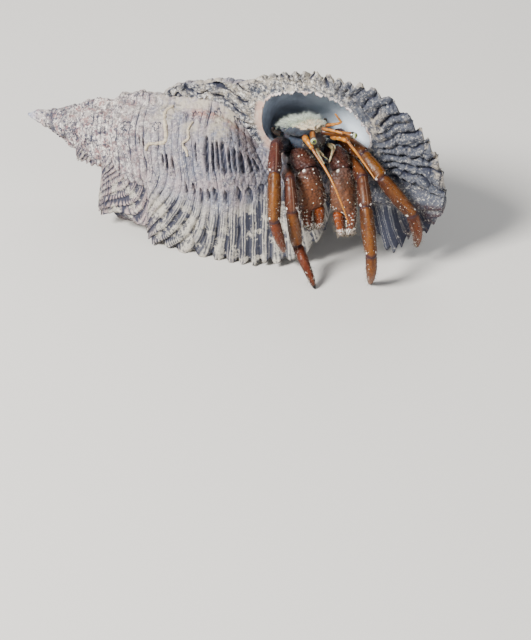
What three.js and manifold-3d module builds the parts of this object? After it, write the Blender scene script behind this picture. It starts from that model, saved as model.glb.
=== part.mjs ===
// A hermit crab at life size in the spiny shell of a murex snail, standing on flat ground.
// Millimetres, +Z up. The shell lies along X with its spire towards -X, and the crab leans out
// of the opening towards -Y. The origin is on the ground, under the middle of the bounding box.

import * as THREE from "three";
import { mergeVertices } from "three/addons/utils/BufferGeometryUtils.js";
import Module from "manifold-3d";

const wasm = await Module();
wasm.setup();

const { cos, sin, min, max, floor, PI } = Math;
const DEGREE = PI / 180;
const vec = (x, y, z) => new THREE.Vector3(x, y, z);

// ---------------------------------------------------------------- driving dimensions

const GAP = 0.3; // clearance between pieces that touch in life
const ORIGIN = vec(-2.1, -4.6, 0); // the place, in the coordinates below, that becomes the origin

// The shell: distances along its axis run from the apex of the spire to the end of the canal.
const SHELL_LENGTH = 95.5;
const SHELL_YAW = 21.5; // the canal end is turned this much towards -Y
const SHELL_DIP = 1; // and lowered this much
const AXIS_PLACE = vec(0, -3.7, 15.2); // where the axis passes AXIS_STATION
const AXIS_STATION = 50.5;
const WHORL_GROWTH = 1.55; // each whorl is this many times the size of the one before
const WHORLS = 6;
const RIB_ANGLES = [0, 120, 226.5]; // in each turn the snail stopped here and built a thick rib
const VARIX_RAMP = 45; // degrees over which the wall swells up to a rib
const VARIX_DROP = 8; // degrees over which it falls away again
const VARIX_SWELL = 0.16;
const FAN_SHARPNESS = 2.4;
const FAN_DROP = 6;
const TWIST_START = 68; // past this station the ribs lean round the canal
const TWIST_RATE = 1.3; // degrees for each millimetre

// Outer wall of the last whorl at the lip: [distance along the axis, radius].
const WHORL_PROFILE = [
  [33, 10.5],
  [36, 12.6],
  [40, 13.9],
  [50, 15.3],
  [56, 16],
  [62, 16.9],
  [67, 17.4],
  [72, 16.7],
  [76, 14.6],
  [79.5, 11.2],
  [82, 8.2],
  [85, 5.8],
  [95.5, 2],
];
const CANAL_PROFILE = [
  [55, 5.2],
  [65, 3.7],
  [81, 3],
  [91, 2.2],
  [95.5, 1.5],
];
const SPIRE_SLOPE = 0.37; // narrowest the tip of the spire gets: radius for each millimetre
const SPIRE_TIP = 12;
const SMALLEST_RADIUS = 0.3;

// Edges of the thin fans that stand on the ribs.
const LIP_FAN = [
  [36.5, 13],
  [44.7, 17.4],
  [51.3, 18.4],
  [55.1, 20.8],
  [63.3, 23.4],
  [71.9, 23.6],
  [81.5, 22.2],
  [89.2, 16.2],
  [93.9, 9.2],
  [95.5, 3.4],
];
const FAN = [
  [33.6, 12],
  [35.3, 20.2],
  [39.9, 21.5],
  [51.4, 21.9],
  [56.9, 21.6],
  [63.2, 20.1],
  [69, 17.1],
  [72.5, 11],
];
// Two small fans hang from the canal, past the front one.
const CANAL_FANS = [
  [79.6, 3.2],
  [83.2, 9.4],
  [85.4, 11.9],
  [88, 10.8],
  [89.8, 7.6],
  [91.8, 7.6],
  [95.5, 2],
];
// Size of each rib's fan against the front one scaled to its whorl; the ribs go backwards
// in growth from the lip: top, rear, front, and round again. The worn top ones have none.
const FAN_SIZES = [1, 1.22, 1, 0, 0.65, 1.28, 0, 0.5, 0.9];

// The hollow the crab lives in, in the plane of the lip: [distance along the axis, radius].
const HOLLOW = [
  [55.2, 11.4],
  [56.5, 15.9],
  [61.3, 18.3],
  [67.7, 19.2],
  [73.2, 17.6],
  [77, 14.6],
  [78.8, 11.5],
  [78.4, 8.6],
  [77, 4.5],
  [70, 4],
  [62, 4.6],
  [56.5, 7],
];
// Past the flared mouth the hollow narrows towards its middle by this share.
const HOLLOW_NECK = 0.24;
const HOLLOW_MIDDLE = [67, 6];
const HOLLOW_TURNS = 230; // degrees that the hollow runs back into the shell
const HOLLOW_MOUTH = -8; // it starts a little before the lip, so that it cuts through cleanly
const HOLLOW_STEP = 14;

// The crab's body frame: the middle of the hard shield behind its eyes.
const SHIELD_PLACE = vec(13.35, -11.6, 26.1);
const HEADING = 26; // turned from -Y towards +X
const HEAD_UP = 18;
const SHIELD_LENGTH = 9.2;
const SHIELD_HALF_WIDTH = 3.9;
const SHIELD_HALF_DEPTH = 1.5;

// Walking legs: where each leaves the body, the length of its long first stretch, its girth,
// and the heading and pitch of its four stretches. Headings turn from -Y towards +X.
const LEG_LENGTHS = { carpus: 6.2, propodus: 9.7, dactyl: 9.8 };
const LEGS = [
  {
    name: "leg_right_rear",
    hip: [9.9, -8.8, 21.8],
    merus: 11.4,
    girth: 1.35,
    turns: [[-15, 28], [-2, -29], [-1, -58], [140, -70]],
  },
  {
    name: "leg_right_front",
    hip: [9.5, -12.2, 17.9],
    merus: 12.6,
    girth: 1.3,
    turns: [[3, 21], [8, -60], [150, -76], [37, -50.5]],
  },
  {
    name: "leg_left_front",
    hip: [22.4, -12.3, 20.4],
    merus: 9.5,
    girth: 1.4,
    turns: [[15, 5.5], [7, -39.5], [13, -58], [177, -70]],
  },
  {
    name: "leg_left_rear",
    hip: [20.5, -8.5, 23.7],
    merus: 9.3,
    girth: 1.45,
    turns: [[31, 1], [41, -30], [64, -44], [149, -74]],
  },
];

// Claws: the joints of each arm from the body to the wrist, then where the closed tips are.
const CLAWS = [
  {
    name: "claw_right",
    inner: 1, // side of the movable finger: +1 towards +X
    shoulder: [13, -10.6, 21.1],
    elbow: [11.8, -15.7, 23.5],
    wrist: [13.8, -20.2, 22.7],
    tip: [15.3, -23.2, 10.1],
    girth: 1,
  },
  {
    name: "claw_left",
    inner: -1,
    shoulder: [17.5, -10.2, 20.9],
    elbow: [19.7, -14.4, 23.3],
    wrist: [20.7, -19, 21.9],
    tip: [21.8, -23.4, 8.6],
    girth: 0.95,
  },
];
const ARM_HALF_WIDTH = 1.35;
const WRIST_HALF_WIDTH = 2;
const PALM_HALF_WIDTH = 2.75;
const PALM_HALF_DEPTH = 2.1;
const PALM_SHARE = 0.6; // of the claw's length; the fingers take the rest

// Eyes, feelers and mouthparts: the points each one runs through, and its radius at either end.
const EYES = [
  { name: "right", base: [14.8, -15.8, 28.4], tip: [14.9, -20.8, 29.7] },
  { name: "left", base: [16.9, -15.2, 28.5], tip: [22.5, -18.3, 29.5] },
];
const STALK_RADIUS = 0.62;
const CORNEA_RADIUS = 0.72;
const FEELERS = [
  {
    name: "antennule_right",
    path: [[16.8, -16.2, 29.8], [18.7, -17.7, 30.2], [20.9, -19.2, 30.4]],
    radii: [0.42, 0.34],
  },
  {
    name: "antennule_left",
    path: [[17.6, -15.8, 30.3], [20.2, -18.5, 32.4], [20.1, -18.9, 33.3], [19.1, -19.1, 34.9]],
    radii: [0.4, 0.28],
  },
  {
    name: "antenna_stem_right",
    path: [[13.2, -16, 27.7], [13.9, -17.6, 27.5], [14.8, -19.2, 26.7]],
    radii: [0.75, 0.5],
  },
  {
    name: "antenna_stem_left",
    path: [[18.8, -15.3, 27.5], [20.5, -16.8, 28], [21.8, -18.4, 28.1]],
    radii: [0.75, 0.5],
  },
  {
    name: "antenna_right",
    path: [[14.9, -19.6, 26.4], [18, -24.1, 23.6], [20.2, -27.1, 19.7], [22, -28.6, 15.1]],
    radii: [0.36, 0.27],
  },
  {
    name: "antenna_left",
    path: [[22.1, -18.8, 28.1], [23.7, -22.1, 27.3], [25.2, -25.3, 26.6], [26.9, -28, 25.2]],
    radii: [0.36, 0.27],
  },
  {
    name: "mouth_leg_right",
    path: [[15.8, -15.2, 24.9], [16.1, -17.6, 24.5], [17.2, -18.5, 22.8]],
    radii: [0.62, 0.32],
  },
  {
    name: "mouth_leg_left",
    path: [[18.1, -14.3, 25.1], [18.9, -16.8, 25.2], [18.2, -18.2, 23.1]],
    radii: [0.62, 0.32],
  },
];

// Small rear legs that brace the crab in its shell: ahead, leftward and above on the body.
const BRACES = [
  { name: "leg_right_fourth", path: [[-4.2, -3.6, 0], [-5, -4.6, 1.2], [-4.8, -4.8, 2.8]] },
  { name: "leg_left_fourth", path: [[-2.6, 4.4, -0.4], [-2.6, 5.9, 0.8], [-2.4, 6.1, 2.6]] },
];
const BRACE_RADII = [0.7, 0.45];

// The soft abdomen follows the hollow backwards from the body: degrees, size and place.
const ABDOMEN_START = 14;
const ABDOMEN_END = 150;
const ABDOMEN_RADIUS = 4;
const TAIL_TURN = 26; // the hard tail fan goes on for this many degrees

// ---------------------------------------------------------------- shape helpers

// Value at x of the smooth curve through points [x, y]; outside is returned off either end.
function curveAt(points, x, outside = 0) {
  const last = points.length - 1;
  if (x < points[0][0] || x > points[last][0]) return outside;
  let i = 0;
  while (i < last - 1 && x > points[i + 1][0]) i += 1;
  const slope = (a, b) => (points[b][1] - points[a][1]) / (points[b][0] - points[a][0]);
  const [x0, y0] = points[i];
  const [x1, y1] = points[i + 1];
  const width = x1 - x0;
  const m0 = slope(max(i - 1, 0), i + 1) * width;
  const m1 = slope(i, min(i + 2, last)) * width;
  const t = (x - x0) / width;
  const rise = y1 - y0;
  return y0 + t * (m0 + t * (3 * rise - 2 * m0 - m1 + t * (m0 + m1 - 2 * rise)));
}

function signedVolume(points, faces) {
  let sum = 0;
  for (const [a, b, c] of faces) sum += points[a].dot(points[b].clone().cross(points[c])) / 6;
  return sum;
}

// A closed body through rings of equal count, with a fan of triangles over each end.
function loft(rings) {
  const sides = rings[0].length;
  const points = rings.flat();
  const faces = [];
  for (let r = 0; r + 1 < rings.length; r += 1) {
    for (let s = 0; s < sides; s += 1) {
      const a = r * sides + s;
      const b = r * sides + ((s + 1) % sides);
      faces.push([a, b, b + sides], [a, b + sides, a + sides]);
    }
  }
  const capEnd = (first, atStart) => {
    const middle = vec(0, 0, 0);
    for (let s = 0; s < sides; s += 1) middle.addScaledVector(points[first + s], 1 / sides);
    points.push(middle);
    for (let s = 0; s < sides; s += 1) {
      const a = first + s;
      const b = first + ((s + 1) % sides);
      faces.push(atStart ? [points.length - 1, b, a] : [points.length - 1, a, b]);
    }
  };
  capEnd(0, true);
  capEnd((rings.length - 1) * sides, false);
  if (signedVolume(points, faces) < 0) faces.forEach((face) => face.reverse());
  const geometry = new THREE.BufferGeometry().setFromPoints(points);
  geometry.setIndex(faces.flat());
  return geometry;
}

function solidOf(geometry) {
  const bare = geometry.clone();
  bare.deleteAttribute("normal");
  bare.deleteAttribute("uv");
  const merged = mergeVertices(bare, 1e-4);
  const vertProperties = new Float32Array(merged.attributes.position.array);
  const triVerts = new Uint32Array(merged.index.array);
  return new wasm.Manifold(new wasm.Mesh({ numProp: 3, vertProperties, triVerts }));
}

function geometryOf(solid) {
  const { numProp, numVert, vertProperties, triVerts } = solid.getMesh();
  const positions = new Float32Array(numVert * 3);
  for (let i = 0; i < numVert; i += 1) {
    positions.set(vertProperties.subarray(i * numProp, i * numProp + 3), i * 3);
  }
  const geometry = new THREE.BufferGeometry();
  geometry.setAttribute("position", new THREE.BufferAttribute(positions, 3));
  geometry.setIndex(new THREE.BufferAttribute(new Uint32Array(triVerts), 1));
  geometry.computeVertexNormals();
  return geometry;
}

// Everything on the far side of a plane: what lies beyond it, along the normal, is cut away.
const CUTTER_SIZE = 300;
function cutBeyond(solid, point, normal) {
  const box = new THREE.BoxGeometry(CUTTER_SIZE, CUTTER_SIZE, CUTTER_SIZE);
  box.translate(0, 0, CUTTER_SIZE / 2);
  const turn = new THREE.Quaternion().setFromUnitVectors(vec(0, 0, 1), normal.clone().normalize());
  box.applyQuaternion(turn);
  box.translate(point.x, point.y, point.z);
  return solid.subtract(solidOf(box));
}

const GROUND = vec(0, 0, 0);
const DOWN = vec(0, 0, -1);
const onGround = (solid) => cutBeyond(solid, GROUND, DOWN);

// A tapered stretch from start to end. Outline rows are [share of the length, width, depth,
// shift to the side] against the half sizes; grow swells it all round.
function stretch({ start, end, up, width, depth, outline, bow = 0, sides = 8, grow = 0 }) {
  const along = end.clone().sub(start);
  const side = along.clone().cross(up).normalize();
  const top = side.clone().cross(along).normalize();
  const rings = outline.map(([share, wide, deep = wide, shift = 0]) => {
    const middle = start.clone().addScaledVector(along, share);
    middle.addScaledVector(top, bow * sin(PI * min(max(share, 0), 1)));
    middle.addScaledVector(side, shift * width);
    return Array.from({ length: sides }, (_, i) => {
      const angle = (2 * PI * (i + 0.5)) / sides;
      const point = middle.clone().addScaledVector(side, (width * wide + grow) * cos(angle));
      return point.addScaledVector(top, (depth * deep + grow) * sin(angle));
    });
  });
  if (grow > 0) {
    const reach = along.clone().normalize().multiplyScalar(grow);
    rings[0].forEach((point) => point.sub(reach));
    rings[rings.length - 1].forEach((point) => point.add(reach));
  }
  return solidOf(loft(rings));
}

// A tapered tube along the smooth curve through some points.
function whip(path, [firstRadius, lastRadius], { sides = 6, steps = 10, grow = 0 } = {}) {
  const curve = new THREE.CatmullRomCurve3(path);
  const rings = [];
  for (let i = 0; i <= steps; i += 1) {
    const share = i / steps;
    const radius = firstRadius + (lastRadius - firstRadius) * share + grow;
    const along = curve.getTangentAt(share);
    const side = along.clone().cross(vec(0.2, 0, 1)).normalize();
    const top = side.clone().cross(along);
    const ring = Array.from({ length: sides }, (_, s) => {
      const angle = (2 * PI * s) / sides;
      const point = curve.getPointAt(share).addScaledVector(side, radius * cos(angle));
      return point.addScaledVector(top, radius * sin(angle));
    });
    rings.push(ring);
  }
  return solidOf(loft(rings));
}

// Unit vector for a heading from -Y towards +X and a pitch above the level.
function aim(heading, pitch) {
  const level = cos(pitch * DEGREE);
  return vec(level * sin(heading * DEGREE), -level * cos(heading * DEGREE), sin(pitch * DEGREE));
}

// ---------------------------------------------------------------- the model's list of pieces

const model = new THREE.Group();
model.position.copy(ORIGIN).negate();

const finish = (color, roughness) => new THREE.MeshStandardMaterial({ color, roughness });
const materials = {
  shell: finish("#9c93a0", 0.85),
  shield: finish("#9fa08a", 0.6),
  body: finish("#3d3a3c", 0.6),
  soft: finish("#b98a6a", 0.6),
  leg: finish("#a35a22", 0.4),
  claw: finish("#6e2c18", 0.45),
  finger: finish("#b34a1c", 0.4),
  feeler: finish("#d07a1c", 0.4),
  stalk: finish("#b86a22", 0.4),
  eye: finish("#20281c", 0.1),
  palp: finish("#c9bf8c", 0.6),
};

function add(name, solid, material) {
  const mesh = new THREE.Mesh(geometryOf(solid), materials[material].clone());
  mesh.name = name;
  model.add(mesh);
  return solid;
}

// ---------------------------------------------------------------- shell

const shellAxis = aim(90 - SHELL_YAW, -SHELL_DIP);
const shellUp = vec(0, 0, 1).addScaledVector(shellAxis, -shellAxis.z).normalize();
const shellRear = shellUp.clone().cross(shellAxis);
const apex = AXIS_PLACE.clone().addScaledVector(shellAxis, -AXIS_STATION);

// A point of the shell: millimetres from the apex, radius, and degrees from the lip.
function shellPoint(along, radius, angle) {
  const turned = angle * DEGREE;
  const point = apex.clone().addScaledVector(shellAxis, along);
  point.addScaledVector(shellUp, radius * cos(turned));
  return point.addScaledVector(shellRear, radius * sin(turned));
}

const growth = (turn) => WHORL_GROWTH ** (-turn / 360);

const ribTurn = (rib) => 360 * floor(rib / 3) + RIB_ANGLES[rib % 3];

// The rib just past this many degrees back from the lip, and the one before it.
function ribsAround(turn) {
  const whorl = floor(turn / 360);
  const past = 3 * whorl + RIB_ANGLES.filter((angle) => angle <= turn - 360 * whorl).length - 1;
  return { past, sincePast: turn - ribTurn(past), toNext: ribTurn(past + 1) - turn };
}

function fanEdge(along, rib) {
  if (rib === 0) return curveAt(LIP_FAN, along);
  const scale = growth(ribTurn(rib)) / growth(ribTurn(2));
  const main = (FAN_SIZES[rib] ?? 0) * scale * curveAt(FAN, along / scale);
  return rib === 2 ? max(main, curveAt(CANAL_FANS, along)) : main;
}

function whorlRadius(along, turn) {
  const size = growth(turn);
  const { past, sincePast, toNext } = ribsAround(turn);
  const risen = (drop) => max(1 - sincePast / VARIX_RAMP, 1 - toNext / drop, 0);
  const wall = size * curveAt(WHORL_PROFILE, along / size) * (1 + VARIX_SWELL * risen(VARIX_DROP));
  const rib = toNext < FAN_DROP ? past + 1 : past;
  const rise = risen(FAN_DROP) ** FAN_SHARPNESS;
  return wall + max(fanEdge(along, rib) - wall, 0) * rise;
}

function shellRadius(along, angle) {
  let radius = max(curveAt(CANAL_PROFILE, along), SMALLEST_RADIUS);
  if (along < SPIRE_TIP) radius = max(radius, SPIRE_SLOPE * along);
  for (let whorl = 0; whorl < WHORLS; whorl += 1) {
    radius = max(radius, whorlRadius(along, angle + 360 * whorl));
  }
  return radius;
}

// Ribs lean round the canal, but the lip and the edge of the opening stay straight.
function leaningAngle(along, angle) {
  const share = min(angle / 100, (360 - angle) / 90, 1);
  return angle - TWIST_RATE * max(along - TWIST_START, 0) * max(share, 0);
}

function shellWall() {
  const stations = 38;
  const steps = [0, 3.5, 9, 16, 25, 36, 50, 68, 88, -14, -7, -3.5, -1.2];
  const rings = [];
  for (let i = 0; i <= stations; i += 1) {
    const along = 0.6 + (SHELL_LENGTH - 0.6) * (i / stations);
    const ring = [];
    for (let rib = 0; rib < 3; rib += 1) {
      for (const step of steps) {
        const angle = step < 0 ? ribTurn(rib + 1) + step : ribTurn(rib) + step;
        ring.push(shellPoint(along, shellRadius(along, angle), leaningAngle(along, angle)));
      }
    }
    rings.push(ring);
  }
  return solidOf(loft(rings));
}

function shellHollow() {
  const rings = [];
  for (let angle = HOLLOW_MOUTH; angle < HOLLOW_TURNS; angle += HOLLOW_STEP) {
    const size = growth(angle);
    const neck = 1 - HOLLOW_NECK * min(max(angle / VARIX_RAMP, 0), 1);
    const narrowed = (value, axis) => HOLLOW_MIDDLE[axis] + (value - HOLLOW_MIDDLE[axis]) * neck;
    const place = ([along, radius]) => [narrowed(along, 0) * size, narrowed(radius, 1) * size];
    rings.push(HOLLOW.map((corner) => shellPoint(...place(corner), angle)));
  }
  return solidOf(loft(rings));
}

add("shell", onGround(shellWall().subtract(shellHollow())), "shell");

// ---------------------------------------------------------------- body

const forward = aim(HEADING, HEAD_UP);
const left = vec(cos(HEADING * DEGREE), sin(HEADING * DEGREE), 0);
const upward = left.clone().cross(forward).negate();

// A place on the body: millimetres ahead of, to the crab's left of and above the shield's middle.
function onBody(ahead, leftward, above) {
  const point = SHIELD_PLACE.clone().addScaledVector(forward, ahead);
  return point.addScaledVector(left, leftward).addScaledVector(upward, above);
}

function bodyStretch(from, to, width, depth, outline, extra = {}) {
  const start = onBody(...from);
  const end = onBody(...to);
  return stretch({ start, end, up: upward, width, depth, outline, sides: 12, ...extra });
}

const half = SHIELD_LENGTH / 2;
const shieldOutline = [
  [0, 0.72, 0.5],
  [0.08, 0.92, 0.8],
  [0.35, 1, 1],
  [0.7, 0.9, 0.95],
  [0.93, 0.74, 0.7],
  [1, 0.4, 0.45],
];
const shieldShape = (grow) => {
  const size = [SHIELD_HALF_WIDTH, SHIELD_HALF_DEPTH];
  return bodyStretch([-half, 0, 1.4], [half, 0, 1.4], ...size, shieldOutline, { grow });
};
const thoraxOutline = [
  [0, 0.7, 0.75],
  [0.12, 0.95, 0.95],
  [0.5, 1, 1],
  [0.85, 0.8, 0.9],
  [1, 0.5, 0.6],
];
const sternumOutline = [
  [0, 0.5, 0.6],
  [0.15, 0.9, 0.9],
  [0.5, 1, 1],
  [0.85, 0.9, 0.9],
  [1, 0.5, 0.6],
];
function thoraxShape(grow) {
  const chest = bodyStretch([-5.4, 0.4, -1.9], [4.4, 0.4, -1.7], 3.2, 1.8, thoraxOutline, { grow });
  const bases = bodyStretch([-1.6, -4.6, -4.6], [-1, 7, -5.2], 2.4, 1.7, sternumOutline, { grow });
  return chest.add(bases);
}

add("shield", shieldShape(0), "shield");
add("thorax", thoraxShape(0).subtract(shieldShape(GAP)), "body");

// ---------------------------------------------------------------- limbs

// The plane that halves the bend between two stretches, for both to be cut at.
function mitre(before, joint, after) {
  const inward = joint.clone().sub(before).normalize();
  const outward = after.clone().sub(joint).normalize();
  return inward.add(outward).normalize();
}

// Cuts a limb's pieces at its joints, with the gap shared between the two sides.
function cutAtJoints(piece, points, index) {
  let cut = piece;
  if (index > 0) {
    const normal = mitre(points[index - 1], points[index], points[index + 1]).negate();
    cut = cutBeyond(cut, points[index].clone().addScaledVector(normal, -GAP / 2), normal);
  }
  if (index + 2 < points.length) {
    const normal = mitre(points[index], points[index + 1], points[index + 2]);
    cut = cutBeyond(cut, points[index + 1].clone().addScaledVector(normal, -GAP / 2), normal);
  }
  return cut;
}

const LEG_OUTLINES = {
  merus: [[0, 0.8], [0.2, 0.95, 1], [0.6, 1, 1.1], [0.9, 0.95, 1.05], [1.06, 0.85, 0.9]],
  carpus: [[-0.14, 0.7], [0.1, 0.86, 0.9], [0.6, 1.02, 1.08], [0.9, 1.02, 1.05], [1.12, 0.9]],
  propodus: [[-0.08, 0.82], [0.15, 0.98, 1.02], [0.6, 1.02, 1.05], [0.9, 0.92], [1.06, 0.84]],
  dactyl: [[-0.06, 0.78], [0.2, 0.84], [0.5, 0.72], [0.75, 0.54], [0.92, 0.36], [1, 0.2]],
};
const DACTYL_BOW = 0.7;

function addLeg({ name, hip, merus, girth, turns }) {
  const lengths = { merus, ...LEG_LENGTHS };
  const names = Object.keys(lengths);
  const points = [vec(...hip)];
  names.forEach((piece, i) => {
    points.push(points[i].clone().addScaledVector(aim(...turns[i]), lengths[piece]));
  });
  names.forEach((piece, i) => {
    const shape = { start: points[i], end: points[i + 1], width: girth, depth: girth * 1.08 };
    const bow = piece === "dactyl" ? DACTYL_BOW : 0;
    const up = piece === "merus" ? vec(0, 0, 1) : aim(turns[1][0], 20);
    let solid = stretch({ ...shape, up, outline: LEG_OUTLINES[piece], bow });
    solid = cutAtJoints(solid, points, i);
    if (piece === "merus") solid = solid.subtract(thoraxShape(GAP));
    add(name + "_" + piece, onGround(solid), "leg");
  });
}

LEGS.forEach(addLeg);

function addClaw({ name, inner, shoulder, elbow, wrist, tip, girth }) {
  const points = [vec(...shoulder), vec(...elbow), vec(...wrist), vec(...tip)];
  const facing = vec(0, -1, 0.25);
  const arm = stretch({
    start: points[0],
    end: points[1],
    up: vec(0, 0, 1),
    width: ARM_HALF_WIDTH * girth,
    depth: ARM_HALF_WIDTH * girth,
    outline: [[0, 0.8], [0.5, 1, 1], [1.15, 1, 1]],
  });
  const body = thoraxShape(GAP).add(shieldShape(GAP));
  add(name + "_merus", cutAtJoints(arm, points, 0).subtract(body), "claw");
  const carpus = stretch({
    start: points[1],
    end: points[2],
    up: vec(0, 0, 1),
    width: WRIST_HALF_WIDTH * girth,
    depth: WRIST_HALF_WIDTH * girth,
    outline: [[-0.2, 0.7], [0.1, 0.88], [0.6, 1], [0.95, 0.98], [1.25, 0.8]],
    sides: 10,
  });
  add(name + "_carpus", cutAtJoints(carpus, points, 1).subtract(body), "claw");

  // The palm narrows to the fixed finger on the outer side; the movable one hinges on the inner.
  const across = points[3].clone().sub(points[2]).cross(facing).normalize();
  const outer = across.x * inner > 0 ? -1 : 1;
  const size = { width: PALM_HALF_WIDTH * girth, depth: PALM_HALF_DEPTH * girth };
  const palmOutline = [
    [-0.06, 0.62, 0.7],
    [0.08, 0.78, 0.9],
    [0.3, 0.97, 1.05],
    [0.5, 1, 1.02],
    [PALM_SHARE - 0.01, 0.94, 0.85],
    [PALM_SHARE + 0.01, 0.45, 0.8, 0.47 * outer],
    [0.8, 0.37, 0.62, 0.45 * outer],
    [0.93, 0.24, 0.4, 0.34 * outer],
    [1, 0.12, 0.2, 0.24 * outer],
  ];
  const fingerOutline = [
    [PALM_SHARE + 0.035, 0.4, 0.72, -0.48 * outer],
    [0.8, 0.37, 0.62, -0.45 * outer],
    [0.93, 0.24, 0.4, -0.33 * outer],
    [1, 0.12, 0.2, -0.22 * outer],
  ];
  const claw = { start: points[2], end: points[3], up: facing, sides: 10, ...size };
  add(name + "_palm", cutAtJoints(stretch({ ...claw, outline: palmOutline }), points, 2), "claw");
  add(name + "_finger", stretch({ ...claw, outline: fingerOutline }), "finger");
}

CLAWS.forEach(addClaw);

// ---------------------------------------------------------------- head, rear legs and abdomen

function addEye({ name, base, tip }) {
  const start = vec(...base);
  const end = vec(...tip);
  const outline = [[0, 1.1], [0.12, 1], [0.5, 0.9], [0.9, 1], [1, 1]];
  const size = { width: STALK_RADIUS, depth: STALK_RADIUS, up: vec(0, 0, 1) };
  const stalk = stretch({ start, end, outline, ...size });
  add("eyestalk_" + name, stalk.subtract(shieldShape(GAP)), "stalk");
  const along = end.clone().sub(start).normalize();
  const front = end.clone().addScaledVector(along, GAP);
  const dome = [[0, 0.9], [0.4, 1], [0.75, 0.8], [1, 0.35]];
  const peak = front.clone().addScaledVector(along, 1.1);
  const bulge = { width: CORNEA_RADIUS, depth: CORNEA_RADIUS, up: vec(0, 0, 1) };
  add("eye_" + name, stretch({ start: front, end: peak, outline: dome, ...bulge }), "eye");
}

EYES.forEach(addEye);

FEELERS.forEach(({ name, path, radii }) => {
  const body = thoraxShape(GAP).add(shieldShape(GAP));
  const feeler = whip(path.map((place) => vec(...place)), radii).subtract(body);
  add(name, feeler, name.startsWith("mouth") ? "palp" : "feeler");
});

BRACES.forEach(({ name, path }) => {
  const body = thoraxShape(GAP).add(shieldShape(GAP));
  const brace = whip(path.map((place) => onBody(...place)), BRACE_RADII, { steps: 6 });
  add(name, brace.subtract(body), "leg");
});

function abdomenPoint(angle) {
  const share = (angle - ABDOMEN_START) / (ABDOMEN_END - ABDOMEN_START);
  const settled = min(share * 3, 1);
  const size = growth(angle);
  return shellPoint((64.5 + 2.5 * settled) * size, (9.2 + 2.4 * settled) * size, angle);
}

function abdomenTube(from, to, radii, extra) {
  const path = [];
  for (let i = 0; i <= 6; i += 1) path.push(abdomenPoint(from + ((to - from) * i) / 6));
  return whip(path, radii, extra);
}

const bellyRadii = [ABDOMEN_RADIUS * 0.86, ABDOMEN_RADIUS * 0.6];
const belly = abdomenTube(ABDOMEN_START, ABDOMEN_END, bellyRadii, { sides: 10 });
add("abdomen", belly.subtract(thoraxShape(GAP).add(shieldShape(GAP))), "soft");
const tail = abdomenTube(ABDOMEN_END + 4, ABDOMEN_END + TAIL_TURN, [2, 0.9], { steps: 4 });
add("tail", tail, "leg");

export default model;
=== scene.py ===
"""A hermit crab in a murex shell: its looks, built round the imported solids.

Lengths below are millimetres in the design's own coordinates, the same as in the solids' source.
new_object turns them into metres in the frame. Colors are linear red, green and blue.
"""

import math

import bpy
import numpy as np
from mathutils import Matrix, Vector


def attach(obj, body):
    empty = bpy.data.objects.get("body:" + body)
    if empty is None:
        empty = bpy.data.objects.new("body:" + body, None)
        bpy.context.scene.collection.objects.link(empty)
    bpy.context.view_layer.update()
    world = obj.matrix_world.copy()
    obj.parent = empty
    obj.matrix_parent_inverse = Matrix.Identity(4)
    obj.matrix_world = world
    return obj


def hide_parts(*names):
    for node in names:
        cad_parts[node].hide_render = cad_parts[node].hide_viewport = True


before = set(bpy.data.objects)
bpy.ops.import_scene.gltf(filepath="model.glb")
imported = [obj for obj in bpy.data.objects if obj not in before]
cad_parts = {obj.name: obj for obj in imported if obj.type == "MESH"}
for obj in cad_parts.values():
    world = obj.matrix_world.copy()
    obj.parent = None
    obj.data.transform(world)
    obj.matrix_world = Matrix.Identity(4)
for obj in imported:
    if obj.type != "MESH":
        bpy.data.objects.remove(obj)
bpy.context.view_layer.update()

MM = 0.001
ORIGIN = np.array([-2.1, -4.6, 0.0])  # the frame's origin in the coordinates used below
TAU = 2 * math.pi


def unit(v):
    v = np.asarray(v, float)
    return v / np.linalg.norm(v, axis=-1, keepdims=True)


def smooth(x, low, high):
    """0 up to low, 1 from high on, and a soft step between them."""
    t = np.clip((x - low) / (high - low), 0, 1)
    return t * t * (3 - 2 * t)


def bump(x, middle, width):
    """A bell-shaped rise to 1 at the middle."""
    return np.exp(-(((x - middle) / width) ** 2))


def wave(phase):
    """From 0 at whole numbers up to 1 halfway between them."""
    return 0.5 - 0.5 * np.cos(TAU * phase)


def off_whole(phase):
    """Distance to the nearest whole number."""
    return np.abs(phase - np.round(phase))


def between(x, start, full, last_full, end):
    """Rises from 0 to 1 over the first two values and falls back over the last two."""
    return smooth(x, start, full) * (1 - smooth(x, last_full, end))


def curve_at(points, x):
    """Value at x of the smooth curve through points (x, y, ...), and 0 off either end."""
    p = np.asarray(points, float)
    px = p[:, 0]
    last = len(p) - 1
    x = np.asarray(x, float)
    i = np.clip(np.searchsorted(px, x, side="left") - 1, 0, last - 1)
    back = np.maximum(i - 1, 0)
    ahead = np.minimum(i + 2, last)
    out = []
    for column in range(1, p.shape[1]):
        py = p[:, column]
        width = px[i + 1] - px[i]
        m0 = (py[i + 1] - py[back]) / (px[i + 1] - px[back]) * width
        m1 = (py[ahead] - py[i]) / (px[ahead] - px[i]) * width
        t = (x - px[i]) / width
        rise = py[i + 1] - py[i]
        y = py[i] + t * (m0 + t * (3 * rise - 2 * m0 - m1 + t * (m0 + m1 - 2 * rise)))
        out.append(np.where((x < px[0]) | (x > px[last]), 0.0, y))
    return out[0] if len(out) == 1 else out


PRIMES = [np.uint32(p) for p in (374761393, 668265263, 2246822519, 1274126177, 2654435761)]
LARGEST = 4294967295.0  # of the 32-bit whole numbers


def lattice(ix, iy, iz, seed):
    """A repeatable number from 0 to 1 for each whole-numbered place."""
    h = ix.astype(np.uint32) * PRIMES[0] + iy.astype(np.uint32) * PRIMES[1]
    h = h + iz.astype(np.uint32) * PRIMES[2] + np.uint32(seed * 97 + 13)
    h = (h ^ (h >> np.uint32(13))) * PRIMES[3]
    h = (h ^ (h >> np.uint32(15))) * PRIMES[4]
    return (h ^ (h >> np.uint32(16))).astype(np.float64) / LARGEST


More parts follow.
